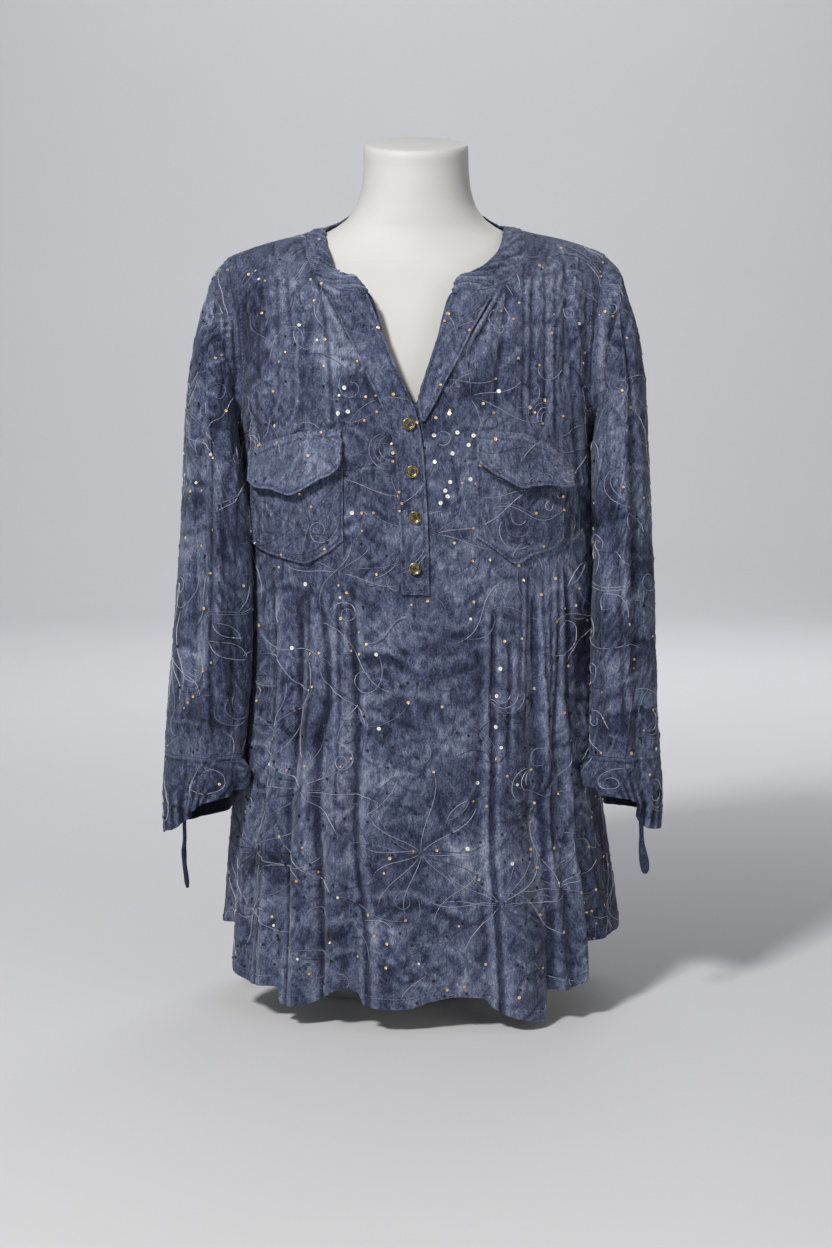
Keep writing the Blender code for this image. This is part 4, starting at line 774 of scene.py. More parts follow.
# Noises in the cloth's dye and weave.
#  scale  detail  roughness  distortion  share of its scale upwards
CLOTH_NOISES = {
    "pools": (15.0, 7.0, 0.62, 1.1, 1.0),
    "clouds": (48.0, 7.0, 0.66, 2.2, 0.7),
    "crinkle": (420.0, 6.0, 0.75, 0.8, 0.35),
    "grain": (900.0, 2.0, 0.6, 0.0, 0.6),
    "veining": (85.0, 5.0, 0.6, 2.5, 0.4),
    "flecking": (260.0, 3.0, 0.6, 0.5, 0.5),
    "puckers": (120.0, 5.0, 0.6, 0.8, 0.5),
}
# What makes the colour darker and paler: noises, the attribute of dyeing and painted shade, and the relief as
# painted shade in troughs and painted light on ridges.
#  name  weight  its middle value
CLOTH_SHADES = (
    ("pools", 0.90, 0.5),
    ("clouds", 0.42, 0.5),
    ("dye", 0.25, 0.0),
    ("crinkle", 1.05, 0.5),
    # painted shade in troughs and painted light on ridges
    ("relief", 0.20, 0.0),
    ("grain", 0.70, 0.5),
    ("veins", -0.10, 0.3),
    ("flecks", -0.20, 0.1),
)
DYE_LEVEL = 0.49  # of the whole cloth
TIE_DYE, BAND_DYE, CUFF_DYE = -1.2, 0.15, -0.35
# The insides are painted darker as painted shade: every inside face, and the cuffs' insides near black.
INSIDE_PAINTED_SHADE, CUFF_INSIDE_PAINTED_SHADE = -0.8, -2.2
FLOOR_DARK, FLOOR_PALE = (0.66, 0.665, 0.68), (0.70, 0.705, 0.72)
FLOOR_HALF_WIDTH, FLOOR_AHEAD = 14.0, 24.0
WALL_AWAY, WALL_HIGH = 5.0, 6.0
WALL_BEND, WALL_BEND_STEPS = 1.5, 24  # radius of the bend between floor and wall
WORLD_COLOUR, WORLD_STRENGTH = (0.90, 0.93, 1.0), 0.20
#  name  place  target  size  watts  colour
LIGHTS = (
    ("key_light", (-1.15, -2.1, 2.3), (0, 0, 0.38), 0.45, 81.0, (1.0, 0.985, 0.96)),
    ("fill_light", (1.7, -2.0, 0.9), (0, 0, 0.40), 1.2, 8.0, (1.0, 0.92, 0.84)),
    ("back_light", (1.0, 2.7, 2.1), (0, 0, 0.40), 1.6, 16.0, (0.97, 0.985, 1.0)),
    ("backdrop_light", (0, 1.9, 3.2), (0, 5.0, 0.9), 2.0, 66.0, (0.97, 0.985, 1.0)),
)

# Buttons.
BUTTON_SIDES = 48
BUTTON_HOLE = 0.00125  # from the middle to a hole's middle
BUTTON_FACE = 0.0002  # height of the sunk face over the button's middle
BUTTON_TURN = 7  # degrees by which each button is turned further than the one above it
HOLE_SIDES, THREAD_SIDES = 12, 8
STRAND_LIFT, STRAND_STEP = 0.00035, 0.0002  # of the lower strand over the face, and up to the other one
#  radius and height, as shares of the button's own
BUTTON_PROFILE = (
    (0.80, -0.50),
    (0.94, -0.42),
    (1.00, -0.25),
    (1.00, 0.22),
    (0.96, 0.38),
    (0.88, 0.48),
    (0.80, 0.50),
    (0.73, 0.44),
    (0.69, 0.26),
    (0.64, 0.10),
    (0.52, 0.07),
    (0.30, 0.09),
    (0.10, 0.10),
)
HOLE_PROFILE = ((0.00062, -0.0004), (0.00066, 0.00008), (0.00058, 0.00012))
THREAD_PROFILE = ((0.00024, -0.0013), (0.00030, -0.0006), (0.00030, 0.0006), (0.00024, 0.0013))

# Thread and sequins.
EDGE = 0.0015  # margin that they keep from a piece's edge
COVER_START, COVER_REACH = 0.0003, 0.02  # how far in front of a cloth what covers it may lie
SPRAYS = ((420, 852), (256, 852), (598, 612), (300, 790), (500, 905))  # where stems fan out, in pixels
SPRAY_CLEAR = 0.045
MOTIF_SPACING, BAND_MOTIF_SPACING, PATCH_MOTIF_SPACING = 0.040, 0.036, 0.034
MOTIF_SIZES = (0.75, 1.15)
FRONT_SEED, BACK_SEED, BAND_SEED, PATCH_SEED, SLEEVE_SEED, CUFF_SEED = 101, 102, 103, 110, 130, 140
SHADE_SEED_STEP, BIG_SEQUIN_SEED = 500, 900
THREAD_STEP = 0.0028
LEAST_POINTS = 4  # of a line of thread
THREAD_HALF, THREAD_RISE, THREAD_SUNK = 0.00046, 0.00050, 0.0004
THREAD_WIDTHS = (0.8, 1.15)
DARK_SHARE, MIDDLE_SHARE = 0.27, 0.30
DARKER_THREAD = 0.62
STITCH_HALF, STITCH_RISE = 0.00042, 0.00036
STITCH_LENGTH, STITCH_GAP = 0.0026, 0.0011
STITCH_WIDTHS, STITCH_RISES = np.array([0.55, 1.0, 1.0, 0.55]), np.array([0.35, 1.0, 1.0, 0.35])
SEQUIN_SIDES = 8
SEQUIN_RISE, SEQUIN_TIP = 0.0004, 0.12  # the tip is a share of the radius
SEQUIN_PROFILE = ((0.20, 0.0), (0.72, -0.0001), (1.0, 0.0002), (1.0, -0.0001))  # share of radius, height
SEQUIN_LEAN, BIG_SEQUIN_LEAN = 0.12, 0.10
SEQUIN_AT_END, GOLD_AT_END = 0.20, 0.6  # shares of the lines' ends, and of those
END_SEQUIN_RADII = (0.0011, 0.0015)
#  kind  number in a square metre  smallest and largest radius  lowest and highest place
SEQUINS = (
    ("silver", 110, 0.0011, 0.0017, 0.0, 0.8),
    ("gold", 260, 0.0010, 0.0016, 0.0, 0.8),
    ("copper", 110, 0.0009, 0.0014, 0.0, 0.8),
    ("black", 420, 0.0010, 0.0014, 0.10, 0.8),
    ("black", 1300, 0.0011, 0.0016, 0.0, 0.32),
)
BIG_SEQUIN_RADIUS = 0.0019
#  x and y in pixels of the largest silver sequins, on the chest and down the skirt
BIG_SEQUINS = (
    (338, 413), (348, 413), (345, 387), (375, 378), (390, 402), (450, 413), (498, 390), (530, 408),
    (434, 434), (457, 432), (473, 434), (468, 445), (452, 454), (434, 461), (470, 478), (450, 483),
    (444, 490), (331, 499), (441, 503), (447, 496), (330, 437), (352, 512), (377, 655), (378, 728),
    (306, 583), (292, 649), (501, 668), (498, 695), (496, 725), (477, 784), (468, 850), (512, 865),
)


# ---- Working with tables and lines ----------------------------------------------------------------
def smooth(table, column, at):
    """The smooth curve through a table's first column and another one, flat beyond its ends."""
    rows = np.array(table, float)
    places, values = rows[:, 0], rows[:, column]
    slopes = np.diff(values) / np.diff(places)
    before, after = slopes[:-1], slopes[1:]
    same = before * after > 0
    mean = np.where(same, 2 * before * after / np.where(same, before + after, 1), 0)
    tangents = np.concatenate([slopes[:1], mean, slopes[-1:]])
    at = np.clip(at, places[0], places[-1])
    i = np.clip(np.searchsorted(places, at, side="right") - 1, 0, len(places) - 2)
    width = places[i + 1] - places[i]
    t = (at - places[i]) / width
    start = (1 + 2 * t) * (1 - t) ** 2 * values[i] + t * (1 - t) ** 2 * width * tangents[i]
    end = t * t * (3 - 2 * t) * values[i + 1] - t * t * (1 - t) * width * tangents[i + 1]
    return start + end


def ease(t):
    """0 to 1 with soft ends."""
    t = np.clip(t, 0, 1)
    return t * t * (3 - 2 * t)


def bump(offset, width):
    """1 in the middle, falling away softly on both sides."""
    return np.exp(-((offset / width) ** 2))


def unit(vectors):
    """Vectors at length 1."""
    return vectors / np.maximum(np.linalg.norm(vectors, axis=-1, keepdims=True), 1e-12)


def facing(vectors, others):
    """Vectors, turned round where they point away from others."""
    return vectors * np.sign((vectors * others).sum(axis=-1, keepdims=True))


def lengths_along(line):
    """The length along a line of points, at each of them."""
    return np.pad(np.cumsum(np.linalg.norm(np.diff(line, axis=0), axis=1)), (1, 0))


def turn_in(steps):
    """The angles of a whole turn in equal steps."""
    return np.linspace(0, 2 * math.pi, steps, endpoint=False)


def fold_push(folds, degrees, z, turn=False):
    """How far the folds push the cloth out, at a place in degrees and a height."""
    push = np.zeros_like(z)
    for top, bottom, half, depth, low, high, fade in folds:
        share = np.clip((z - max(low, 0.0)) / (high - max(low, 0.0)), 0, 1)
        middle = bottom + (top - bottom) * share
        off = degrees - middle
        if turn:
            off = (off + 180) % 360 - 180
        strength = ease((z - low) / fade) * ease((high - z) / fade)
        push += depth * strength * bump(off, half)
    return push


def seen(points, side=FRONT):
    """Where points show in the photograph, in its pixels. The back is taken as seen from behind."""
    x, y, z = -side * points[..., 0], -side * points[..., 1], points[..., 2] - LOOK_AT_Z
    pitch = math.radians(CAMERA_PITCH)
    away = CAMERA_DISTANCE + y * math.cos(pitch) - z * math.sin(pitch)
    rise = y * math.sin(pitch) + z * math.cos(pitch)
    return PHOTO_MIDDLE[0] + FOCAL_PIXELS * x / away, PHOTO_MIDDLE[1] - FOCAL_PIXELS * rise / away


def crease_push(creases, px, py):
    """How far creases push the cloth out: each is a path down the photograph, with a ridge beside it."""
    push = np.zeros_like(px)
    for depth, half, ridge, path in creases:
        top, bottom = path[0][0], path[-1][0]
        off = px - smooth(path, 1, py)
        half = half * (1 + WIDER_WHEN_DEEP * depth)
        ends = ease((py - top) / CREASE_FADE) * ease((bottom - py) / CREASE_FADE)
        trough = bump(off, half) + CREASE_CORE * bump(off, half * 0.5)
        trough -= abs(ridge) * bump(off - np.sign(ridge) * RIDGE_OFF * half, RIDGE_WIDTH * half)
        push -= depth * MM * ends * trough
    return push


def wrinkle_push(wrinkles, px, py):
    """How far short wrinkles push the cloth out: each is a bent ridge or trough in the photograph."""
    push = np.zeros_like(px)
    for x_middle, y_middle, tilt, half_length, half_width, depth, bend in wrinkles:
        c, s = math.cos(math.radians(tilt)), math.sin(math.radians(tilt))
        along = (px - x_middle) * c - (py - y_middle) * s
        across = -(py - y_middle) * c - (px - x_middle) * s + bend * along**2 / half_length
        push += depth * MM * bump(along, half_length) * bump(across, half_width)
    return push


def dye_at(spots, px, py):
    """Broad darker and paler areas, below and above 0: dyed blotches and, where a table gives them, painted
    shade.
    """
    dye = np.zeros_like(px)
    for x_middle, y_middle, half_width, half_height, shade in spots:
        dye += shade * bump(px - x_middle, half_width) * bump(py - y_middle, half_height)
    return dye


def crumple(across, up, seed, spacing, depth, tilt=90.0):
    """Small random creases all over, as crinkled cotton has: spacing is their mean distance."""
    draw = np.random.default_rng(seed)
    low = np.array([across.min(), up.min()])
    high = np.array([across.max(), up.max()])
    count = int((high - low).prod() / spacing**2)
    push = np.zeros_like(up)
    places = low + (high - low) * draw.random((count, 2))
    for middle, height in places:
        angle = math.radians(tilt + draw.normal() * CRUMPLE_SPREAD)
        half_length, half_width = draw.uniform(*CRUMPLE_LENGTHS), draw.uniform(*CRUMPLE_WIDTHS)
        size = draw.uniform(*CRUMPLE_SIZES) * draw.choice((-1, -1, 1)) * depth
        c, s = math.cos(angle), math.sin(angle)
        along = (across - middle) * c + (up - height) * s
        bend = draw.uniform(-CRUMPLE_BEND, CRUMPLE_BEND) * along**2
        off = (up - height) * c - (across - middle) * s + bend
        push += size * bump(along, half_length) * bump(off, half_width)
    return push


# ---- The garment's surface ------------------------------------------------------------------------
def body(x, z, side):
    """y of the unfolded cloth at x and height z, on the front or the back."""
    half = smooth(BODY, BODY_HALF, z)
    full = smooth(BODY, BODY_FRONT if side == FRONT else BODY_BACK, z)
    across = np.clip(1 - (np.abs(x) / half) ** ROUND, 0, 1) ** (1 / ROUND)
    drop = np.clip((smooth(CREST, 1, x) - z) / SHOULDER_ROUND, 0, 1)
    return side * full * across * np.sqrt(1 - (1 - drop) ** 2)


def panel_edge(z, side):
    """Half width of a panel at a height: to the side seam, and above the underarm to the armhole."""
    edge = smooth(ARMHOLE, ARMHOLE_FRONT if side == FRONT else ARMHOLE_BACK, z)
    return np.where(z < UNDERARM, smooth(BODY, BODY_HALF, z), edge)


def across_at(z, s, side):
    """x at a height and a place across (-1 to 1) of a panel."""
    half = smooth(BODY, BODY_HALF, z)
    widest = np.arcsin(np.clip(panel_edge(z, side) / half, 0, 1) ** (ROUND / 2))
    angle = np.abs(s) * math.pi / 2 - (math.pi / 2 - widest) * np.abs(s) ** 2.5
    return np.sign(s) * half * np.sin(angle) ** (2 / ROUND)


def degrees_round(x, z):
    """Degrees round the body from the middle of a panel, at x and height z."""
    share = np.clip(np.abs(x) / smooth(BODY, BODY_HALF, z), 0, 1)
    return np.sign(x) * np.degrees(np.arcsin(share ** (ROUND / 2)))


def grid_normals(grid, closed=False):
    """Unit normals of a grid of points: the direction up times the direction across."""
    if closed:
        over = np.roll(grid, -1, axis=1) - np.roll(grid, 1, axis=1)
    else:
        over = np.gradient(grid, axis=1)
    return unit(np.cross(np.gradient(grid, axis=0), over))


def relax(values, times, closed=False):
    """Values of a grid, smoothed."""
    for _ in range(times):
        padded = np.pad(values, ((1, 1), (0, 0)), mode="edge")
        values = (padded[:-2] + 2 * values + padded[2:]) / 4
        padded = np.pad(values, ((0, 0), (1, 1)), mode="wrap" if closed else "edge")
        values = (padded[:, :-2] + 2 * values + padded[:, 2:]) / 4
    return values


def panel_points(side, s, v):
    """Points, fine relief and unfolded base of a panel's grid: s across, v from hem (0) to top (1)."""
    s, v = np.meshgrid(s, v)
    top, hem, folds, creases, wrinkles = PANEL_TABLES[side]
    bottom_z, top_x, top_z = smooth(hem, 1, s), smooth(top, 1, s), smooth(top, 2, s)
    top_z = np.where(np.abs(s) > NECK_SIDE - 0.001, smooth(CREST, 1, top_x), top_z)
    z = bottom_z + (top_z - bottom_z) * v
    drawn_in = top_x - across_at(top_z, s, side)
    x = across_at(z, s, side) + drawn_in * np.clip(2 * v - 1, 0, 1) ** 3
    base = np.stack([x, body(x, z, side) + side * SEAM / 2, z], axis=-1)
    normals = grid_normals(base) * side
    on_seam = np.abs(base[..., 1]) < SEAM
    normals[on_seam, 1] = 0
    normals = unit(normals)
    degrees = degrees_round(x, z)
    push = fold_push(folds, degrees, z) * set_in(s, v, *FOLDS_SET_IN)
    px, py = seen(base, side)
    fine = crease_push(creases, px, py) + wrinkle_push(wrinkles, px, py)
    fine += crumple(degrees * METRES_A_DEGREE, z, PANEL_CREASE_SEED + side, *CLOTH_CRUMPLE)
    fine = fine * set_in(s, v, *FINE_SET_IN) + turned_hem(z - bottom_z)
    points = base + normals * (push + fine)[..., None]
    points[..., 0] += smooth(SWING, 1, z)
    return points, fine, base


def set_in(s, v, across, up):
    """0 at a panel's side and upper edges and 1 away from them, over shares of its width and height."""
    return ease((1 - np.abs(s)) / across) * ease((1 - v) / up)


def turned_hem(rise):
    """Thickness of a hem that is turned up and stitched, at a distance from its edge."""
    turned_up = HEM_THICK * ease((HEM_TURN + 0.0008 - rise) / 0.0012)
    return turned_up - STITCH_DEPTH * bump(rise - HEM_TURN + 0.0012, 0.0007)


# ---- Cloth as grids -------------------------------------------------------------------------------
class Cloth:
    """A grid of points with outward normals, its fine relief, and the cloth's own lengths, in metres.

    u runs across from the middle column and w up or down from the middle row, both along the
    unwrinkled base. In an upright panel u leaves out what runs up, and w what runs sideways.
    rise is the length from the first row.
    """

    def __init__(self, points, outward, fine, closed=False, base=None, upright=False):
        self.points, self.fine, self.closed = points, fine, closed
        self.normals = grid_normals(points, closed) * outward
        self.flip = outward > 0
        base = points if base is None else base
        ring = np.concatenate([base, base[:, :1]], axis=1) if closed else base
        over = np.linalg.norm(np.diff(ring, axis=1)[..., :2 if upright else 3], axis=-1)
        up = np.linalg.norm(np.diff(ring, axis=0)[..., 1 if upright else 0:], axis=-1)
        self.u = np.pad(np.cumsum(over, axis=1), ((0, 0), (1, 0)))
        self.u -= self.u[:, self.u.shape[1] // 2, None]
        self.rise = np.pad(np.cumsum(up, axis=0), ((1, 0), (0, 0)))
        middle = len(ring) // 2
        way = np.sign((ring[-1] - ring[0])[..., 2].mean())
        self.w = self.rise - self.rise[middle] + way * ring[middle, :, 2]
        wrapped = [(grid, grid[:, :1]) for grid in (points, self.normals)]
        self.places, self.ways = (np.concatenate(pair, axis=1) if closed else pair[0] for pair in wrapped)

    def sample(self, row, column):
        """Points and normals between the grid's own."""
        rows, columns = self.places.shape[:2]
        i = np.clip(row.astype(int), 0, rows - 2)
        j = np.clip(column.astype(int), 0, columns - 2)
        a, b = (row - i)[:, None], (column - j)[:, None]
        found = []
        for grid in (self.places, self.ways):
            low = grid[i, j] * (1 - b) + grid[i, j + 1] * b
            high = grid[i + 1, j] * (1 - b) + grid[i + 1, j + 1] * b
            found.append(low * (1 - a) + high * a)
        return found[0], unit(found[1])

    def find(self, u, w):
        """Rows and columns of places that are given by the cloth's own lengths, and which lie on it."""
        row, column = len(self.u) // 2, 0
        rows, columns, on = [], [], []
        row_numbers, column_numbers = np.arange(self.u.shape[0]), np.arange(self.u.shape[1])
        for a, b in zip(u, w):
            for _ in range(2):
                i = min(int(row), len(row_numbers) - 2)
                here = self.u[i] + (self.u[i + 1] - self.u[i]) * (row - i)
                column = np.interp(a, here, column_numbers)
                j = min(int(column), len(column_numbers) - 2)
                up = self.w[:, j] + (self.w[:, j + 1] - self.w[:, j]) * (column - j)
                row = np.interp(b, up, row_numbers)
            rows.append(row)
            columns.append(column)
            inside = here[0] < a < here[-1] and up[0] + EDGE < b < up[-1] - EDGE
            on.append(inside)
        return np.array(rows), np.array(columns), np.array(on)

    def flat(self):
        """u and w at its points."""
        columns = self.points.shape[1]
        return self.u[:, :columns], self.w[:, :columns]

    def lifted(self, lift):
        """Its points, moved outwards."""
        return self.points + self.normals * lift


def add_mesh(name, points, faces, look, slot="cloth", **values):
    """A smooth-shaded mesh piece with a look, riding on the frame, with numbers kept for each point."""
    mesh = bpy.data.meshes.new(name)
    mesh.from_pydata(np.reshape(points, (-1, 3)).tolist(), [], faces)
    mesh.materials.append(look)
    mesh.shade_smooth()
    mesh.set_sharp_from_angle(angle=math.radians(SHARP_ANGLE))
    for key, value in values.items():
        numbers = np.ravel(value).astype(np.float32)
        mesh.attributes.new(key, "FLOAT", "POINT").data.foreach_set("value", numbers)
    made = in_scene(name, mesh)
    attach(made, "root")
    return made


def grid_faces(index):
    """Faces of a grid of point numbers whose rows go up and columns go right."""
    corners = index[:-1, :-1], index[:-1, 1:], index[1:, 1:], index[1:, :-1]
    return np.stack([corner.ravel() for corner in corners], axis=1).tolist()


def in_scene(name, data):
    """A new object that shows some data, in the scene."""
    made = bpy.data.objects.new(name, data)
    bpy.context.scene.collection.objects.link(made)
    return made


def grid_index(rows, columns, closed, first=0):
    """Point numbers of a grid from the first on, with its first column repeated at its end if closed."""
    index = first + np.arange(rows * columns).reshape(rows, columns)
    return np.concatenate([index, index[:, :1]], axis=1) if closed else index


def lowest_near(values, times, closed):
    """The lowest of the values near each place of a grid."""
    for _ in range(times):
        padded = np.pad(values, ((1, 1), (0, 0)), mode="edge")
        values = np.minimum.reduce([padded[:-2], values, padded[2:]])
        padded = np.pad(values, ((0, 0), (1, 1)), mode="wrap" if closed else "edge")
        values = np.minimum.reduce([padded[:, :-2], values, padded[:, 2:]])
    return values


def rim_faces(outer, inner):
    """Faces that join a line of point numbers to one with every second point of it."""
    a, middle, b = outer[:-2:2], outer[1::2], outer[2::2]
    joined = [(middle, a, inner[:-1]), (middle, inner[:-1], inner[1:]), (b, middle, inner[1:])]
    return np.concatenate([np.stack(corners, axis=1) for corners in joined]).tolist()


def wall(name, cloth, thick, look, dye, inside=None):
    """A closed wall of cloth: its outer grid, and inside it a coarser one that stays below every trough."""
    rows, columns = cloth.points.shape[:2]
    outer = grid_index(rows, columns, cloth.closed)
    deep = thick + np.minimum(cloth.fine - lowest_near(cloth.fine, 2, cloth.closed), DEEPEST_INSIDE)
    inner_points = cloth.lifted(-deep[..., None])[::2, ::2]
    inner = grid_index(*inner_points.shape[:2], cloth.closed, rows * columns)
    faces = grid_faces(outer) + grid_faces(inner[:, ::-1])
    faces += rim_faces(outer[0], inner[0]) + rim_faces(outer[-1, ::-1], inner[-1, ::-1])
    if not cloth.closed:
        faces += rim_faces(outer[:, -1], inner[:, -1]) + rim_faces(outer[::-1, 0], inner[::-1, 0])
    if cloth.flip:
        faces = [face[::-1] for face in faces]
    points = np.concatenate([cloth.points.reshape(-1, 3), inner_points.reshape(-1, 3)])
    # Relief for painted shade and light: troughs are painted darker and ridges paler in the cloth's colour.
    relief = cloth.fine - relax(cloth.fine, RELIEF_SPREAD, cloth.closed)
    relief = np.clip(relief / RELIEF_FULL, -1, 1)
    dye = np.broadcast_to(dye, relief.shape)
    # The inside face is painted darker, as painted shade.
    inside = dye[::2, ::2] + INSIDE_PAINTED_SHADE if inside is None else np.full(inner_points.shape[:2], inside)
    return add_mesh(name, points, faces, look, relief=np.concatenate([relief.ravel(), np.zeros(inside.size)]),
                    dye=np.concatenate([dye.ravel(), inside.ravel()]))


def span(*stops):
    """Places from stop to stop, each stop after the first with its number of steps before it."""
    places = [stops[0]]
    for steps, stop in stops[1:]:
        places += list(np.linspace(places[-1], stop, steps + 1)[1:])
    return np.array(places)


# ---- Front and back -------------------------------------------------------------------------------
def finish_cloth(name, cloth, thick, look, dye, inside=None):
    """A cloth with its wall made, in place of its solid."""
    cloth.piece = wall(f"{name}_cloth", cloth, thick, look, dye, inside)
    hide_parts(name)
    return cloth


def make_panel(name, side, look):
    """The front or the back."""
    half = span(0, *PANEL_COLUMNS)
    s = np.concatenate([-half[:0:-1], half])
    v = span(0, *PANEL_ROWS)
    points, fine, base = panel_points(side, s, v)
    cloth = Cloth(points, side, fine, base=base, upright=True)
    cloth.s = s
    # Dyeing and, on the front, painted shade at its sides.
    dye = dye_at(FRONT_DYE_AND_SHADE if side == FRONT else BACK_DYE, *seen(cloth.points, side))
    return finish_cloth(name, cloth, CLOTH_THICK, look, dye)


def tree_of(made):
    """A piece's faces, to be searched by rays."""
    mesh = made.data
    return BVHTree.FromPolygons([v.co for v in mesh.vertices], [tuple(p.vertices) for p in mesh.polygons])


def front_depth(tree, x, z):
    """y of the front's own faces at grids of x and z."""
    start, way = Vector((0, -1, 0)), Vector((0, 1, 0))
    depth = body(x, z, FRONT)
    for place in np.ndindex(x.shape):
        start.x, start.z = x[place], z[place]
        hit = tree.ray_cast(start, way)[0]
        if hit:
            depth[place] = hit.y
    return depth


def laid_on(tree, x, z, lift, spread):
    """A grid that lies on the front at x and z: it spans the front's small troughs and clears its ridges."""
    depth = front_depth(tree, x, z)
    over = depth
    for _ in range(spread):
        padded = np.pad(over, 1, mode="edge")
        around = [padded[1:-1, :-2], padded[1:-1, 2:], padded[:-2, 1:-1], padded[2:, 1:-1]]
        over = np.minimum.reduce([*around, over])
    y = np.minimum(relax(over, spread), depth)
    base = np.stack([x, y, z], axis=-1)
    return base - grid_normals(base) * lift


# ---- Neckband -------------------------------------------------------------------------------------
def band_side(cloth, edge, low, high):
    """Seam points, free-edge points and normals of the band along a stretch of a panel's upper edge."""
    kept = np.flatnonzero((cloth.s > low - 1e-6) & (cloth.s < high + 1e-6))
    places = cloth.s[kept]
    free = np.stack([smooth(edge, column, places) for column in (1, 2, 3)], axis=1)
    return cloth.points[-1, kept], free, cloth.normals[-1, kept]


def band_lines(front, back):
    """The band's seam, its free edge and the normals along its seam, from its left end to its right one."""
    left = band_side(front, BAND_LEFT_EDGE, V_CORNER, NECK_SIDE)
    behind = band_side(back, BAND_BACK_EDGE, -NECK_SIDE + 0.01, NECK_SIDE - 0.01)
    right = band_side(front, BAND_RIGHT_EDGE, -NECK_SIDE, -V_CORNER)
    seam, free, out = (np.concatenate([a, b[::-1], c]) for a, b, c in zip(left, behind, right))
    return [soften(resampled(line, seam, BAND_COLUMNS), 3) for line in (seam, free, out)]


def make_neckband(front, back, look):
    """One strip from its left end in front, round behind the neck, to its right end."""
    seam, free, out = band_lines(front, back)
    across = unit(free - seam)
    along = np.gradient(seam, axis=0)
    away = facing(unit(np.cross(out, along)), across)
    free_out = facing(unit(np.cross(across, along)), out)
    seam = seam + away * SEAM * 1.5
    share = np.linspace(0, 1, BAND_ROWS)[:, None, None]
    ways = unit(out * (1 - share) + free_out * share)
    puff = BAND_PUFF * np.sin(math.pi * share) - BAND_GROOVE * bump(share - 0.12, 0.06)
    points = seam + (free - seam) * share + ways * puff
    outward = 1 if (grid_normals(points)[1] * out).sum() >= 0 else -1
    plain = Cloth(points, outward, np.zeros(points.shape[:2]))
    fine = crumple(plain.u, plain.rise, BAND_CREASE_SEED, *BAND_CRUMPLE, tilt=80)
    cloth = Cloth(points + plain.normals * fine[..., None], outward, fine, base=points)
    return finish_cloth("neckband", cloth, BAND_THICK, look, BAND_DYE)


def resampled(line, guide, count):
    """A line's points at even steps along a guide with the same number of points."""
    along = lengths_along(guide)
    at = np.linspace(0, along[-1], count)
    return np.stack([np.interp(at, along, line[:, k]) for k in range(line.shape[1])], axis=1)


def soften(line, times):
    """A line of points, smoothed between its ends."""
    for _ in range(times):
        line = np.concatenate([line[:1], (line[:-2] + 2 * line[1:-1] + line[2:]) / 4, line[-1:]])
    return line


# ---- Plackets, pockets and flaps ------------------------------------------------------------------
def patch_cloth(name, points, seed, look, thick, stitch, shade=0.0, top_stitch=0.0):
    """A small piece that lies on the front, from its grid of points, with sunk stitch lines and creases."""
    plain = Cloth(points, FRONT, np.zeros(points.shape[:2]))
    fine = crumple(plain.u, plain.rise, seed, *PATCH_CRUMPLE)
    from_side = np.minimum(plain.u - plain.u[:, :1], plain.u[:, -1:] - plain.u)
    fine -= SEAM_DEPTH * bump(np.minimum(from_side, plain.rise) - stitch, SEAM_GROOVE)
    if top_stitch:
        fine -= SEAM_DEPTH * bump(plain.rise[-1] - plain.rise - top_stitch, SEAM_GROOVE)
    cloth = Cloth(points + plain.normals * fine[..., None], FRONT, fine, base=points, upright=True)
    return finish_cloth(name, cloth, thick * WALL_SHARE, look, shade)


def make_placket(tree, look, name, table, rows, lift, seed):
    """A strip down the front between two edges."""
    heights = np.linspace(table[-1][0], table[0][0], rows)
    edges = [smooth(table[::-1], column, heights) for column in (1, 2)]
    left, right = np.minimum(*edges), np.maximum(*edges)
    x = left[:, None] + (right - left)[:, None] * np.linspace(0, 1, PLACKET_COLUMNS)
    z = np.repeat(heights[:, None], PLACKET_COLUMNS, axis=1)
    points = laid_on(tree, x, z, lift + DOUBLE_WALL, PLACKET_SPREAD)
    return patch_cloth(name, points, seed, look, DOUBLE_WALL, PLACKET_STITCH)


def make_patch(tree, look, name, table, x_span, grid, lift, thick, seed, off, shade, top_stitch):
    """A patch on the front, whose lower side corner and lower edge may stand off further."""
    rows, columns = grid
    share = np.linspace(0, 1, columns)
    x = x_span[0] + (x_span[1] - x_span[0]) * share
    top, bottom = smooth(table, 1, share), smooth(table, 2, share)
    rise = np.linspace(0, 1, rows)[:, None]
    z = bottom + (top - bottom) * rise
    x = np.repeat(x[None], rows, axis=0)
    if x_span[0] > x_span[1]:
        x, z, share = x[:, ::-1], z[:, ::-1], share[::-1]
    points = laid_on(tree, x, z, lift + thick, PATCH_SPREAD)
    corner_off, edge_off = off
    points[..., 1] -= corner_off * ease((CORNER_SHARE - share[None, :]) / CORNER_SHARE) * (1 - rise) ** 1.5
    points[..., 1] -= edge_off * (1 - rise) ** 2
    return patch_cloth(name, points, seed, look, thick, PATCH_STITCH, shade, top_stitch)


# ---- Sleeves and cuffs ----------------------------------------------------------------------------
def armhole_ring(front, back, sign):
    """Points and normals round an armhole: top, down the front, underarm, up the back."""
    column = -1 if sign > 0 else 0
    halves = []
    for cloth in (front, back):
        line = np.concatenate([cloth.points[:, column], cloth.normals[:, column]], axis=1)
        above = line[line[:, 2] > UNDERARM + 0.0005]
        lowest = [np.interp(UNDERARM, line[:, 2], line[:, k]) for k in range(6)]
        halves.append(np.concatenate([[lowest], above]))
    down, up = halves[0][::-1], halves[1]
    top, under = (down[:1] + up[-1:]) / 2, (down[-1:] + up[:1]) / 2
    around = np.concatenate([top, down[1:-1], under, up[1:-1], top])
    around = resampled(around, around[:, :3], SLEEVE_COLUMNS + 1)[:-1]
    return around[:, :3], unit(around[:, 3:])


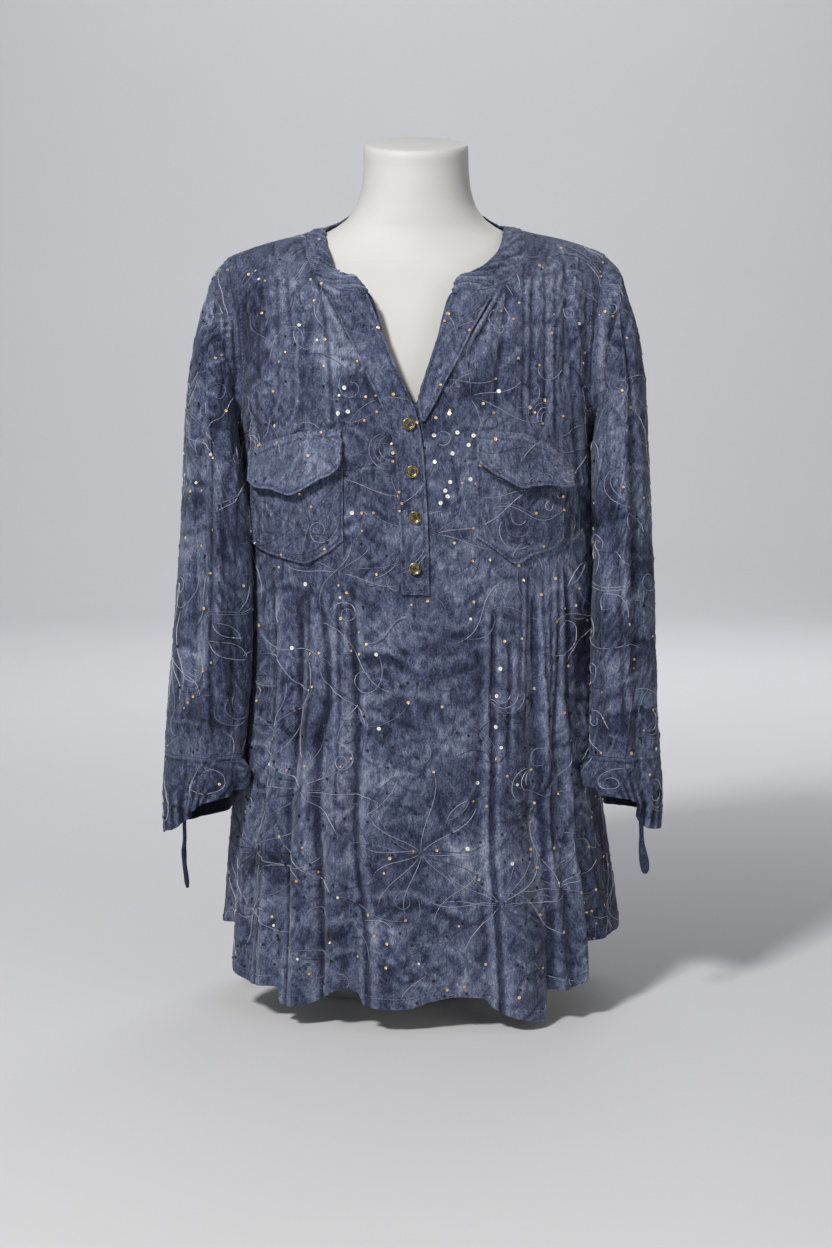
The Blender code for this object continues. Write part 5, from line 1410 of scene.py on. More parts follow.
def sleeve_angles(ring):
    """Angle round the sleeve of each ring point: 0 outside or top, 90 front, 180 inside, 270 back."""
    low, high = ring.min(axis=0), ring.max(axis=0)
    across = (ring - (low + high) / 2) / (high - low)
    return np.arctan2(-across[:, 1], across[:, 2]) % (2 * math.pi)


def sleeve_ring(section, angles, sign):
    """Points round a sleeve at one of its sections."""
    outer_right, outer_left, outer_z, inner_right, inner_left, inner_z, deep, y_middle, lean = section
    outer_x, inner_x = (outer_right, inner_right) if sign < 0 else (outer_left, inner_left)
    outside, inside = np.array([outer_x, outer_z]), np.array([inner_x, inner_z])
    middle, reach = (outside + inside) / 2, (outside - inside) / 2
    in_plane = middle + np.cos(angles)[:, None] * reach
    x = in_plane[:, 0] - lean * np.sin(angles)
    y = y_middle - deep * np.sin(angles)
    return np.stack([sign * x, y, in_plane[:, 1]], axis=1)


def between_rings(rings, count):
    """Rings at even steps of smooth curves through a few rings."""
    numbers = np.arange(len(rings), dtype=float)
    at = np.linspace(0, len(rings) - 1, count)
    table = np.concatenate([numbers[:, None], rings.reshape(len(rings), -1)], axis=1)
    columns = [smooth(table[:, (0, k)], 1, at) for k in range(1, table.shape[1])]
    return np.stack(columns, axis=1).reshape((count,) + rings.shape[1:])


def sleeve_rings(front, back, sign):
    """Rings of points down a sleeve, and the angle of their points round it."""
    armhole, out = armhole_ring(front, back, sign)
    along = np.roll(armhole, -1, axis=0) - np.roll(armhole, 1, axis=0)
    away = unit(np.cross(out, along) * sign)
    start = armhole + away * SEAM
    angles = soften_ring(np.unwrap(sleeve_angles(start)), 4)
    sections = [sleeve_ring(row, angles, sign) for row in SLEEVE]
    leave = unit(sections[0] - start)
    back_over = np.minimum((leave * away).sum(axis=1, keepdims=True) - 0.1, 0)
    turned_out = start + (leave - away * back_over) * TURN
    return between_rings(np.stack([start, turned_out] + sections), SLEEVE_ROWS), angles


def sleeve_relief(plain, sign):
    """Fine relief of a sleeve: creases, wrinkles and crumples that fade at both of its seams."""
    fine = both_sides(crease_push, SLEEVE_CREASES, plain)
    fine += both_sides(wrinkle_push, SLEEVE_WRINKLES, plain)
    across, up = plain.u[:, :-1], plain.rise[:, :-1]
    fine += crumple(across, up, SLEEVE_CREASE_SEED + sign, *CLOTH_CRUMPLE)
    return fine * ease((up[-1:] - up) / SEAM_FADE) * ease(up / SEAM_FADE)


def make_sleeve(name, front, back, sign, look):
    """An open tube from the armhole to the cuff, with lengthwise folds, its inner side against the body."""
    rings, angles = sleeve_rings(front, back, sign)
    degrees = np.broadcast_to(np.degrees(angles), rings.shape[:2])
    z = rings[..., 2].mean(axis=1, keepdims=True) + np.zeros(rings.shape[:2])
    plain = Cloth(rings, -sign, np.zeros(z.shape), closed=True)
    rise = ease(np.arange(SLEEVE_ROWS) / SLEEVE_ROWS / SLEEVE_FOLDS_SET_IN)[:, None]
    folds = fold_push(SLEEVE_FOLDS, degrees, z, turn=True) * rise
    fine = sleeve_relief(plain, sign)
    points = rings + plain.normals * (folds + fine)[..., None]
    points = against_body(points, plain.normals, (front, back), sign, SLEEVE_FREE_ROWS)
    cloth = Cloth(points, -sign, fine, closed=True, base=rings)
    cloth.degrees = np.degrees(angles)
    return finish_cloth(name, cloth, CLOTH_THICK, look, both_sides(dye_at, SLEEVE_DYE_AND_SHADE, plain))


def against_body(points, normals, panels, sign, free_rows=0):
    """A sleeve's points, its inner side moved sideways until it hangs just clear of the body."""
    trees = [tree_of(panel.piece) for panel in panels]
    gap = np.full(points.shape[:2], BODY_REACH)
    inward = -sign * normals[..., 0]
    for place in zip(*np.nonzero(inward > 0)):
        if place[0] >= free_rows:
            start = Vector(points[place]) + Vector((sign * BODY_REACH, 0, 0))
            hits = [tree.ray_cast(start, Vector((-sign, 0, 0)))[3] for tree in trees]
            gap[place] = min([hit for hit in hits if hit is not None], default=BODY_REACH) - BODY_REACH
    gap -= AGAINST_BODY
    for _ in range(2):
        around = [np.roll(gap, turn, axis=1) for turn in (-1, 1)]
        padded = np.pad(gap, ((1, 1), (0, 0)), mode="edge")
        gap = np.minimum.reduce(around + [padded[:-2], padded[2:], gap])
    below = (np.arange(len(gap)) - free_rows) / BODY_ROWS
    share = ease((inward - INNER_FROM) / INNER_OVER) * ease(below)[:, None]
    shift = np.where(gap > 0, np.minimum(gap, BODY_CLOSER) * share, gap)
    moved_to = points.copy()
    moved_to[..., 0] -= sign * relax(shift, 5, closed=True)
    return moved_to


def soften_ring(values, times):
    """Values round a ring that grow by a whole turn, smoothed."""
    turn = 2 * math.pi
    for _ in range(times):
        before = np.concatenate([values[-1:] - turn, values[:-1]])
        after = np.concatenate([values[1:], values[:1] + turn])
        values = (before + 2 * values + after) / 4
    return values


def both_sides(maker, rows, plain):
    """What a table gives for the front and for the back of a sleeve, each fading at the sides."""
    front_share = ease(0.5 - plain.normals[..., 1] / 0.5)
    front, back = (maker(rows, *seen(plain.points, side)) for side in (FRONT, BACK))
    return front * front_share + back * (1 - front_share)


def cuff_points(sleeve, degrees, sign):
    """A cuff's grid from its seam down to its edge."""
    seam_ring, seam_normals = sleeve.points[-1], sleeve.normals[-1].copy()
    edge_z, push = smooth(CUFF_EDGE, 1 if sign < 0 else 2, degrees), smooth(CUFF_EDGE, 3, degrees)
    top = seam_ring - np.array([0, 0, SEAM])
    middle = top.mean(axis=0)
    rows = []
    for t in np.linspace(0, 1, CUFF_GRID_ROWS):
        row = middle + (top - middle) * (1 + CUFF_BULGE * math.sin(math.pi * t) - CUFF_DRAWN_IN * t)
        row = row + seam_normals * (push * t**1.5)[:, None]
        row[:, 2] = top[:, 2] + (edge_z - top[:, 2]) * t
        row[:, 0] += sign * CUFF_OUTWARD * t
        rows.append(row)
    return np.stack(rows)


def make_cuff(name, sleeve, panels, sign, look):
    """A turned cuff, gathered where its tie draws its edge up."""
    degrees = sleeve.degrees % 360
    points = cuff_points(sleeve, degrees, sign)
    plain = Cloth(points, -sign, np.zeros(points.shape[:2]), closed=True)
    share = np.linspace(0, 1, CUFF_GRID_ROWS)[:, None]
    fine = cuff_gathers(np.broadcast_to(degrees, points.shape[:2]), share, sign)
    across, up = plain.u[:, :-1], plain.rise[:, :-1]
    fine += crumple(across, up, CUFF_CREASE_SEED + sign, *CUFF_CRUMPLE)
    fine *= ease(up / SEAM_FADE)
    fine += HEM_THICK * ease((0.0035 - up) / 0.0012) - STITCH_DEPTH * bump(up - 0.0042, 0.0006)
    places = against_body(points + plain.normals * fine[..., None], plain.normals, panels, sign)
    places[0] = points[0]
    cloth = Cloth(places, -sign, fine, closed=True, base=points)
    cloth.degrees = degrees
    # The cuff's inside is painted near black, as painted shade.
    return finish_cloth(name, cloth, CUFF_THICK, look, CUFF_DYE, CUFF_INSIDE_PAINTED_SHADE)


def cuff_gathers(degrees, share, sign):
    """Fine gathers of a cuff: they run up from where the tie draws its edge up, and fade."""
    push = np.zeros(degrees.shape)
    knot = TIE_RIGHT_ANGLE if sign < 0 else TIE_LEFT_ANGLE
    for number, turn in enumerate(np.linspace(-40, 78, GATHERS)):
        lean = turn * (1 - share) * 0.55
        off = degrees - (knot + turn * 0.75 + lean)
        strength = ease((share - 0.12 - 0.25 * (number % 3) / 2) / 0.5) * bump(turn - 15, 60)
        push += GATHER_DEPTH * (-1 if number % 2 else 0.8) * strength * bump(off, 3.2)
    return push


# ---- Ties, buttons and the form -------------------------------------------------------------------
def tie_line(cuff, angle, route, sign):
    """The middle line of a tie end, from its place on the cuff's edge, and the length along it."""
    order = np.argsort(cuff.degrees)
    edge = (cuff.points[-1] + cuff.lifted(-CUFF_THICK)[-1]) / 2
    start = np.array([np.interp(angle, cuff.degrees[order], edge[order, k]) for k in range(3)])
    points = start + np.array(route) * (sign, 1, 1)
    along = lengths_along(points)
    at = np.linspace(0, along[-1], TIE_GRID_RINGS)
    line = np.stack([smooth(np.stack([along, points[:, k]], axis=1), 1, at) for k in range(3)], axis=1)
    return line, at / along[-1]


def make_tie(name, cuff, angle, route, widths, sign, look):
    """A soft tie end that hangs from a place on the cuff's edge: flat, twisted, and wider where it knots."""
    line, share = tie_line(cuff, angle, route, sign)
    down = np.gradient(line, axis=0)
    right = unit(np.cross(down, (0, 1, 0)))
    front = unit(np.cross(down, right))
    half = smooth(widths, 1, share)[:, None] / 2
    thin = smooth(widths, 2, share)[:, None] / 2
    twist = np.radians(smooth(widths, 3, share))[:, None]
    turn = turn_in(TIE_GRID_SIDES)[None]
    rumpled = 1 + TIE_RUMPLE * np.cos(3 * turn + 9 * share[:, None])
    a, b = half * np.cos(turn), thin * np.sin(turn) * rumpled
    x, y = a * np.cos(twist) - b * np.sin(twist), a * np.sin(twist) + b * np.cos(twist)
    rings = line[:, None] + x[..., None] * right[:, None] + y[..., None] * front[:, None]
    made = add_tube(f"{name}_cord", rings, look, dye=np.full(rings.shape[:2], TIE_DYE))
    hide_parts(name)
    return made, line


def add_tube(name, rings, look, slot="cloth", **values):
    """A closed tube through rings of points, with flat ends."""
    index = grid_index(*rings.shape[:2], closed=True)
    faces = grid_faces(index) + [index[0, -2::-1].tolist(), index[-1, :-1].tolist()]
    return add_mesh(name, rings, faces, look, slot, **values)


def make_form(look):
    """The dress form's neck and torso, smooth all over."""
    heights = np.array([row[0] for row in FORM])
    z = np.unique(np.concatenate([np.linspace(0, heights[-1], FORM_ROWS), heights]))
    half, front, behind, middle, power = (smooth(FORM, k, z)[:, None] for k in range(1, 6))
    angles = turn_in(FORM_GRID_SIDES)[None]
    c, s = np.cos(angles), np.sin(angles)
    x = half * np.sign(c) * np.abs(c) ** (2 / power)
    y = np.where(s > 0, behind, front) * np.sign(s) * np.abs(s) ** (2 / power)
    lean = math.tan(math.radians(CAP_TILT)) * ease((z - TILT_FROM) / (heights[-1] - TILT_FROM))[:, None]
    rings = np.stack([x, y + middle, z[:, None] + lean * y], axis=-1)
    made = add_tube("dress_form", rings, look, slot="form")
    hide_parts("form")
    return made


def turned_rings(profile, sides):
    """Rings of points round the z axis, from a profile of radii and heights."""
    return np.array([[(r * math.cos(a), r * math.sin(a), z) for a in turn_in(sides)] for r, z in profile])


def button_place(name):
    """Where a button's solid lies: its middle, with z outwards."""
    solid = bpy.data.objects[name]
    corners = np.array([solid.matrix_world @ vertex.co for vertex in solid.data.vertices])
    middle = corners.mean(axis=0)
    out = np.linalg.svd(corners - middle)[2][2]
    out = Vector(out if out[1] < 0 else -out)
    return Matrix.Translation(middle) @ out.to_track_quat("Z", "Y").to_matrix().to_4x4()


def make_button(number, looks):
    """A turned brass button with a raised rim and four sewn holes, where its solid lies."""
    name = f"button_{number}"
    place = button_place(name)
    rings = turned_rings(BUTTON_PROFILE, BUTTON_SIDES) * (BUTTON_RADIUS, BUTTON_RADIUS, BUTTON_THICK)
    disc = add_tube(f"{name}_disc", moved(rings, place), looks["button"], slot="button")
    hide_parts(name)
    hole = turned_rings(HOLE_PROFILE, HOLE_SIDES)
    thread = turned_rings(THREAD_PROFILE, THREAD_SIDES)
    for quarter in range(4):
        angle = math.radians(45 + 90 * quarter + BUTTON_TURN * number)
        x, y = BUTTON_HOLE * math.cos(angle), BUTTON_HOLE * math.sin(angle)
        sunk = moved(hole + (x, y, BUTTON_FACE), place)
        # Each hole is a near-black plug: painted shade.
        add_tube(f"{name}_hole_{quarter}", sunk, looks["hole"], slot="button")
        if quarter < 2:
            tilt = Matrix.Rotation(angle, 4, "Z") @ Matrix.Rotation(math.pi / 2, 4, "Y")
            lift = BUTTON_FACE + STRAND_LIFT + STRAND_STEP * quarter
            strand = moved(thread, Matrix.Translation((0, 0, lift)) @ tilt)
            add_tube(f"{name}_strand_{quarter}", moved(strand, place), looks["thread_dark"], slot="button")


def moved(points, matrix):
    """Points of an array moved by a matrix."""
    matrix = np.array(matrix)
    return points @ matrix[:3, :3].T + matrix[:3, 3]


# ---- Materials ------------------------------------------------------------------------------------
class Look:
    """A node material under construction: node() adds one with inputs that are numbers or other sockets."""

    def __init__(self, name, **shader):
        self.material = bpy.data.materials.new(name)
        self.material.use_nodes = True
        self.tree = self.material.node_tree
        self.shader = self.tree.nodes["Principled BSDF"]
        self.set(self.shader, **shader)

    def feed(self, socket, value):
        """Sets an input to a number or colour, or links another socket to it."""
        if isinstance(value, bpy.types.NodeSocket):
            self.tree.links.new(value, socket)
        else:
            socket.default_value = value

    def set(self, node, **inputs):
        """Feeds inputs by their names, with _ for a space."""
        for key, value in inputs.items():
            self.feed(node.inputs[key.replace("_", " ")], value)

    def node(self, kind, settings=None, at=(), **inputs):
        """A new node's outputs. Some inputs can be given by their number, as pairs."""
        node = self.tree.nodes.new(f"ShaderNode{kind}")
        for key, value in (settings or {}).items():
            setattr(node, key, value)
        self.set(node, **inputs)
        for number, value in at:
            self.feed(node.inputs[number], value)
        return node.outputs

    def noise(self, vector, scale, detail, roughness=0.55, distortion=0.0, upright=1.0):
        """Noise from 0 to 1, drawn out upwards where upright is below 1."""
        if upright < 1:
            vector = self.node("Mapping", Vector=vector, Scale=(1.0, 1.0, upright))["Vector"]
        settings = dict(Vector=vector, Scale=scale, Detail=detail, Roughness=roughness, Distortion=distortion)
        return self.node("TexNoise", **settings)["Fac"]

    def math(self, operation, *values):
        """A sum or another operation."""
        return self.node("Math", {"operation": operation}, enumerate(values))[0]

    def between(self, value, low, high, to_low=0.0, to_high=1.0):
        """A value's place between low and high, on another scale and kept inside it."""
        return self.node("MapRange", {"clamp": True}, enumerate((value, low, high, to_low, to_high)))[0]

    def mix(self, share, a, b):
        """A colour between two, from 0 at the first to 1 at the second."""
        return self.node("Mix", {"data_type": "RGBA", "clamp_result": True}, ((0, share), (6, a), (7, b)))[2]

    def ramp(self, value, *stops):
        """Colours at places from 0 to 1."""
        outputs = self.node("ValToRGB", Fac=value)
        elements = self.tree.nodes[-1].color_ramp.elements
        while len(elements) < len(stops):
            elements.new(0.5)
        for element, (place, colour) in zip(elements, stops):
            element.position = place
            element.color = (*colour, 1)
        return outputs["Color"]

    def bump(self, height, distance, strength, normal=None):
        """Normals of a raised and sunk surface, over other normals if given."""
        inputs = dict(Height=height, Distance=distance, Strength=strength)
        if normal is not None:
            inputs["Normal"] = normal
        return self.node("Bump", **inputs)["Normal"]

    def attribute(self, name):
        """Numbers that the mesh keeps for each point."""
        return self.node("Attribute", {"attribute_name": name})["Fac"]


def cloth_look():
    """Unevenly dyed slate-blue cotton: dark pools and pale drifts, veins and an upright crinkle, with painted
    shade in its troughs and on its insides and painted light on its ridges.
    """
    look = Look("dyed_cotton", Roughness=0.88, Sheen_Weight=0.08, Sheen_Roughness=0.5, Specular_IOR_Level=0.2)
    place = look.node("TexCoord")["Object"]
    noise = {name: look.noise(place, *numbers) for name, numbers in CLOTH_NOISES.items()}
    veined = look.math("ABSOLUTE", look.math("SUBTRACT", noise["veining"], 0.5))
    values = {
        **noise,
        "veins": look.between(veined, 0.0, 0.035, 1.0, 0.0),
        "flecks": look.between(noise["flecking"], 0.62, 0.72),
        "dye": look.attribute("dye"),
        # the relief, for painted shade in troughs and painted light on ridges
        "relief": look.attribute("relief"),
    }
    level = DYE_LEVEL
    for name, weight, middle in CLOTH_SHADES:
        level = look.math("ADD", look.math("MULTIPLY_ADD", values[name], weight, -weight * middle), level)
    height = look.math("MULTIPLY_ADD", noise["crinkle"], 1.0, look.math("MULTIPLY", noise["grain"], 0.3))
    normal = look.bump(noise["puckers"], 0.0030, 0.7)
    normal = look.bump(height, 0.0008, 0.7, normal)
    look.set(look.shader, Base_Color=look.ramp(level, *CLOTH_COLOURS), Normal=normal)
    return look.material


def plain_look(name, colour, **shader):
    """One colour all over."""
    look = Look(name, Base_Color=(*colour, 1), **shader)
    return look.material


def thread_look(name, colour):
    """Twisted thread with a slight sheen, a little paler and darker along its length."""
    look = Look(name, Roughness=0.55, Specular_IOR_Level=0.45, Sheen_Weight=0.2)
    place = look.node("TexCoord")["Object"]
    uneven = look.between(look.noise(place, 70.0, 3.0), 0.3, 0.7)
    darker = tuple(part * DARKER_THREAD for part in colour)
    look.set(look.shader, Base_Color=look.mix(uneven, (*darker, 1), (*colour, 1)))
    return look.material


def brass_look():
    """Tarnished brass: brown in patches, rubbed bright elsewhere."""
    look = Look("tarnished_brass", Metallic=1.0)
    place = look.node("TexCoord")["Object"]
    tarnish = look.between(look.noise(place, 420.0, 5.0, 0.6, 0.8), 0.38, 0.62)
    colour = look.mix(tarnish, (*srgb(74, 66, 48), 1), (*srgb(186, 174, 140), 1))
    look.set(look.shader, Base_Color=colour, Roughness=look.between(tarnish, 0.0, 1.0, 0.48, 0.22))
    return look.material


def make_looks():
    """All materials of the object, by name."""
    return {
        "cloth": cloth_look(),
        "form": form_look(),
        "button": brass_look(),
        # A near-black plug in each button hole, as painted shade.
        "hole": plain_look("button_hole_painted_shade", srgb(24, 22, 26), Roughness=0.9),
        "thread_pale": thread_look("pale_thread", srgb(186, 190, 208)),
        "thread_middle": thread_look("middle_thread", srgb(134, 141, 166)),
        "thread_dark": thread_look("dark_thread", srgb(34, 37, 56)),
        "stitch": thread_look("stitching_thread", srgb(128, 134, 158)),
        "silver": plain_look("silver_sequin", srgb(250, 250, 246), Metallic=0.3, Roughness=0.3),
        "gold": plain_look("gold_sequin", srgb(240, 212, 166), Metallic=0.4, Roughness=0.30),
        "copper": plain_look("copper_sequin", srgb(216, 176, 140), Metallic=0.4, Roughness=0.34),
        "black": plain_look("black_sequin", srgb(15, 15, 21), Roughness=0.45),
    }


def form_look():
    """Matt white with a faint haze and a fine grain."""
    look = Look("matt_white_form", Roughness=0.6, Specular_IOR_Level=0.35)
    place = look.node("TexCoord")["Object"]
    haze = look.noise(place, 9.0, 3.0)
    colour = look.mix(look.between(haze, 0.3, 0.7), (*srgb(201, 201, 198), 1), (*srgb(209, 208, 206), 1))
    orange_peel = look.noise(place, 900.0, 2.0)
    look.set(look.shader, Base_Color=colour, Normal=look.bump(orange_peel, 0.0001, 0.3))
    return look.material


# ---- Thread, sequins and stitches -----------------------------------------------------------------
def curl(length, start, end, sway=0.0):
    """A stroke whose curvature goes from start to end, in turns over its length, with a sway in between."""
    count = max(5, int(length / THREAD_STEP))
    t = np.linspace(0, 1, count)
    bend = start + (end - start) * t + sway * np.sin(2 * math.pi * t)
    heading = 2 * math.pi * np.cumsum(bend) / count
    step = length / (count - 1)
    return np.stack([np.cumsum(np.cos(heading)), np.cumsum(np.sin(heading))], axis=1) * step


def turned(line, angle, place=(0, 0)):
    """A line turned by an angle and moved to a place."""
    c, s = math.cos(angle), math.sin(angle)
    return line @ np.array([[c, s], [-s, c]]) + place


def scroll(draw):
    """A long stroke that rolls up."""
    side = draw.choice((-1, 1))
    return [curl(draw.uniform(0.060, 0.100), 0.1 * side, draw.uniform(1.7, 2.8) * side)]


def wave(draw):
    """A long S, single or with a shorter one beside it."""
    side = draw.choice((-1, 1))
    line = curl(draw.uniform(0.060, 0.105), 0.35 * side, -0.35 * side, 0.25 * side)
    if draw.random() < 0.5:
        return [line]
    return [line, line * (0.8, 0.9) + (0.004, 0.004 * side)]


def crook(draw):
    """A short stroke with a hooked end."""
    side = draw.choice((-1, 1))
    return [curl(draw.uniform(0.035, 0.065), 0.05 * side, draw.uniform(0.7, 1.2) * side)]


def teardrop(draw):
    """A drop-shaped loop with a short vein."""
    side = draw.choice((-1, 1))
    length = draw.uniform(0.055, 0.085)
    return [curl(length, 0.15 * side, 0.9 * side, 0.55 * side), curl(length * 0.55, -0.2 * side, 0.3 * side)]


def leaf(draw):
    """Two bent strokes that meet at both ends."""
    length, bend = draw.uniform(0.030, 0.050), draw.uniform(0.16, 0.26)
    upper = turned(curl(length, bend, bend * 0.8), -bend * 2.9)
    lower = turned(curl(length, -bend, -bend * 0.8), bend * 2.9)
    return [upper, lower]


def nest(draw):
    """Curved strokes inside each other."""
    side = draw.choice((-1, 1))
    strokes = []
    for number in range(draw.integers(3, 6)):
        length = 0.022 + 0.009 * number
        line = curl(length, 0.55 * side, 0.45 * side)
        strokes.append(line - line.mean(axis=0) + (0.0045 * number, 0.002 * number))
    return strokes


def spray(draw):
    """Stems that fan out from one place."""
    strokes = []
    for angle in np.linspace(-1.25, 1.25, draw.integers(5, 8)):
        side = 1 if angle > 0 else -1
        stem = curl(draw.uniform(0.045, 0.075), 0.32 * side, -0.40 * side)
        strokes.append(turned(stem, angle + draw.normal() * 0.08))
    return strokes


def ring(draw):
    """A small round loop."""
    return [curl(draw.uniform(0.022, 0.040), 0.75, 1.05)]


MOTIFS = (scroll, wave, crook, teardrop, leaf, nest, spray, ring)
MOTIF_SHARES = (0.20, 0.24, 0.18, 0.10, 0.09, 0.06, 0.06, 0.07)


def nearest_place(cloth, x, y):
    """The grid place of a cloth that shows nearest to a pixel of the photograph."""
    px, py = seen(cloth.points)
    return np.unravel_index(np.argmin((px - x) ** 2 + (py - y) ** 2), px.shape)


def spray_places(cloth):
    """Where the larger sprays stand on the front, in its own lengths."""
    across, up = cloth.flat()
    nearest = [nearest_place(cloth, *pixel) for pixel in SPRAYS]
    return [(across[place], up[place]) for place in nearest]


def strokes_on(cloth, seed, spacing, sprays):
    """Strokes in the cloth's own lengths: sprays at their places, and motifs turned any way between them."""
    draw = np.random.default_rng(seed)
    across, up = cloth.flat()
    strokes, row = [], 0
    for middle in sprays:
        for lean in (math.pi / 2, -math.pi / 2):
            strokes += [turned(line, lean, middle) for line in spray(draw)]
    for w in np.arange(up.min() + spacing * 0.4, up.max(), spacing * 0.9):
        row += 1
        for u in np.arange(across.min() + spacing * 0.5 * (row % 2), across.max(), spacing):
            place = np.array([u, w]) + draw.uniform(-0.3, 0.3, 2) * spacing
            motif = MOTIFS[draw.choice(len(MOTIFS), p=MOTIF_SHARES)]
            if any(math.dist(place, middle) < SPRAY_CLEAR for middle in sprays):
                continue
            angle = draw.normal() * 0.6 + math.pi / 2 if motif is spray else draw.uniform(0, 2 * math.pi)
            size = draw.uniform(*MOTIF_SIZES)
            for line in motif(draw):
                strokes.append(turned(line * size, angle, place))
    return strokes


def ridge_mesh(lines):
    """Points and faces of low ridges with three points across, along lines of points and normals."""
    points, faces, first = [], [], 0
    for place, out, half, rise in lines:
        side = unit(np.cross(np.gradient(place, axis=0), out)) * half[:, None]
        sunk = place - out * THREAD_SUNK
        points.append(np.stack([sunk - side, place + out * rise, sunk + side], axis=1).reshape(-1, 3))
        index = grid_index(len(place), 3, False, first)
        for a, b in ((0, 1), (1, 2)):
            corners = [index[:-1, a], index[1:, a], index[1:, b], index[:-1, b]]
            faces += np.stack(corners, axis=1).tolist()
        first += index.size
    return np.concatenate(points), faces


def on_cloth(cloth, strokes, shut):
    """The stretches of strokes that lie on a cloth, clear of what covers it: points and normals."""
    lines = []
    for line in strokes:
        row, column, on = cloth.find(line[:, 0], line[:, 1])
        place, out = cloth.sample(row, column)
        if shut is not None:
            on &= ~shut(place)
        starts = np.flatnonzero(np.diff(np.concatenate([[0], on.astype(int), [0]])))
        for a, b in zip(starts[::2], starts[1::2]):
            if b - a >= LEAST_POINTS:
                lines.append((place[a:b], out[a:b]))
    return lines


def embroider(cloth, name, seed, spacing, looks, shut, sprays):
    """Raised thread in three shades over a cloth, and the ends of its lines."""
    draw = np.random.default_rng(seed + SHADE_SEED_STEP)
    lines = on_cloth(cloth, strokes_on(cloth, seed, spacing, sprays), shut)
    shades = {"pale": [], "middle": [], "dark": []}
    for place, out in lines:
        share = np.linspace(0, 1, len(place))
        taper = ease(share / 0.12) * ease((1 - share) / 0.2) * 0.65 + 0.35
        half = THREAD_HALF * draw.uniform(*THREAD_WIDTHS) * taper
        chance = draw.random()
        shade = "dark" if chance < DARK_SHARE else "middle" if chance < DARK_SHARE + MIDDLE_SHARE else "pale"
        shades[shade].append((place, out, half, THREAD_RISE))
    for shade, kept in shades.items():
        if kept:
            add_mesh(f"{name}_thread_{shade}", *ridge_mesh(kept), looks[f"thread_{shade}"])
    return [(place[-1], out[-1]) for place, out in lines]


def sequin_mesh(places):
    """Thin eight-sided discs with a hole: (place, outward, radius, lean x, lean y) each."""
    turn = turn_in(SEQUIN_SIDES)[:, None]
    points, faces, first = [], [], 0
    for place, out, radius, lean_x, lean_y in places:
        out = unit(np.array(out) + (lean_x, 0, lean_y))
        right = unit(np.cross(out, (0.0, 0.0, 1.0)))
        around = np.cos(turn) * right + np.sin(turn) * np.cross(right, out)
        rise = SEQUIN_RISE + radius * SEQUIN_TIP
        for share, lift in SEQUIN_PROFILE:
            points.append(place + around * radius * share + out * (rise + lift))
        index = grid_index(len(SEQUIN_PROFILE), SEQUIN_SIDES, True, first)
        faces += grid_faces(np.concatenate([index, index[:1]]))
        first += len(SEQUIN_PROFILE) * SEQUIN_SIDES
    return np.concatenate(points), faces


def sew_big_sequins(cloth, looks):
    """The largest silver sequins, at their places in the photograph."""
    draw = np.random.default_rng(BIG_SEQUIN_SEED)
    places = []
    for pixel in BIG_SEQUINS:
        nearest = nearest_place(cloth, *pixel)
        leans = draw.normal(0, BIG_SEQUIN_LEAN, 2)
        places.append((cloth.points[nearest], cloth.normals[nearest], BIG_SEQUIN_RADIUS, *leans))
    add_mesh("front_sequins_large", *sequin_mesh(places), looks["silver"])


def sew_sequins(name, cloth, seed, ends, looks, shut=None):
    """Sequins on a cloth: some where lines of thread end, the rest between them."""
    draw = np.random.default_rng(seed)
    across, up = cloth.flat()
    area = (across.max() - across.min()) * (up.max() - up.min())
    kinds = {kind: [] for kind, *_ in SEQUINS}
    for kind, count, radius_low, radius_high, z_low, z_high in SEQUINS:
        for _ in range(int(count * area)):
            u, w = draw.uniform(across.min(), across.max()), draw.uniform(up.min(), up.max())
            row, column, on = cloth.find([u], [w])
            place, out = (found[0] for found in cloth.sample(row, column))
            if not on[0] or not z_low < place[2] < z_high or (shut is not None and shut(place[None])[0]):
                continue
            radius = draw.uniform(radius_low, radius_high)
            kinds[kind].append((place, out, radius, *draw.normal(0, SEQUIN_LEAN, 2)))
    for place, out in ends:
        if draw.random() < SEQUIN_AT_END:
            kind = "gold" if draw.random() < GOLD_AT_END else "copper"
            radius = draw.uniform(*END_SEQUIN_RADII)
            kinds[kind].append((place, out, radius, *draw.normal(0, SEQUIN_LEAN, 2)))
    for kind, places in kinds.items():
        if places:
            add_mesh(f"{name}_sequins_{kind}", *sequin_mesh(places), looks[kind])


def stitch_line(cloth, us, ws):
    """Places of single stitches along a line in the cloth's own lengths."""
    along = np.pad(np.cumsum(np.hypot(np.diff(us), np.diff(ws))), (1, 0))
    half, rise = STITCH_HALF * STITCH_WIDTHS, (STITCH_RISE * STITCH_RISES)[:, None]
    lines = []
    for start in np.arange(0, along[-1] - STITCH_LENGTH, STITCH_LENGTH + STITCH_GAP):
        at = np.linspace(start, start + STITCH_LENGTH, len(STITCH_WIDTHS))
        row, column, _ = cloth.find(np.interp(at, along, us), np.interp(at, along, ws))
        place, out = cloth.sample(row, column)
        lines.append((place, out, half, rise))
    return lines


def row_stitches(cloth, inset, top=False):
    """Stitches that follow the lower edge of a cloth, or the upper one, at an inset."""
    across, up = cloth.flat()
    columns = np.arange(across.shape[1])
    rise = cloth.rise[:, :len(columns)]
    level = rise[-1] - inset if top else np.full(len(columns), inset)
    row = np.abs(rise - level).argmin(axis=0)
    return stitch_line(cloth, across[row, columns], level + up[0])


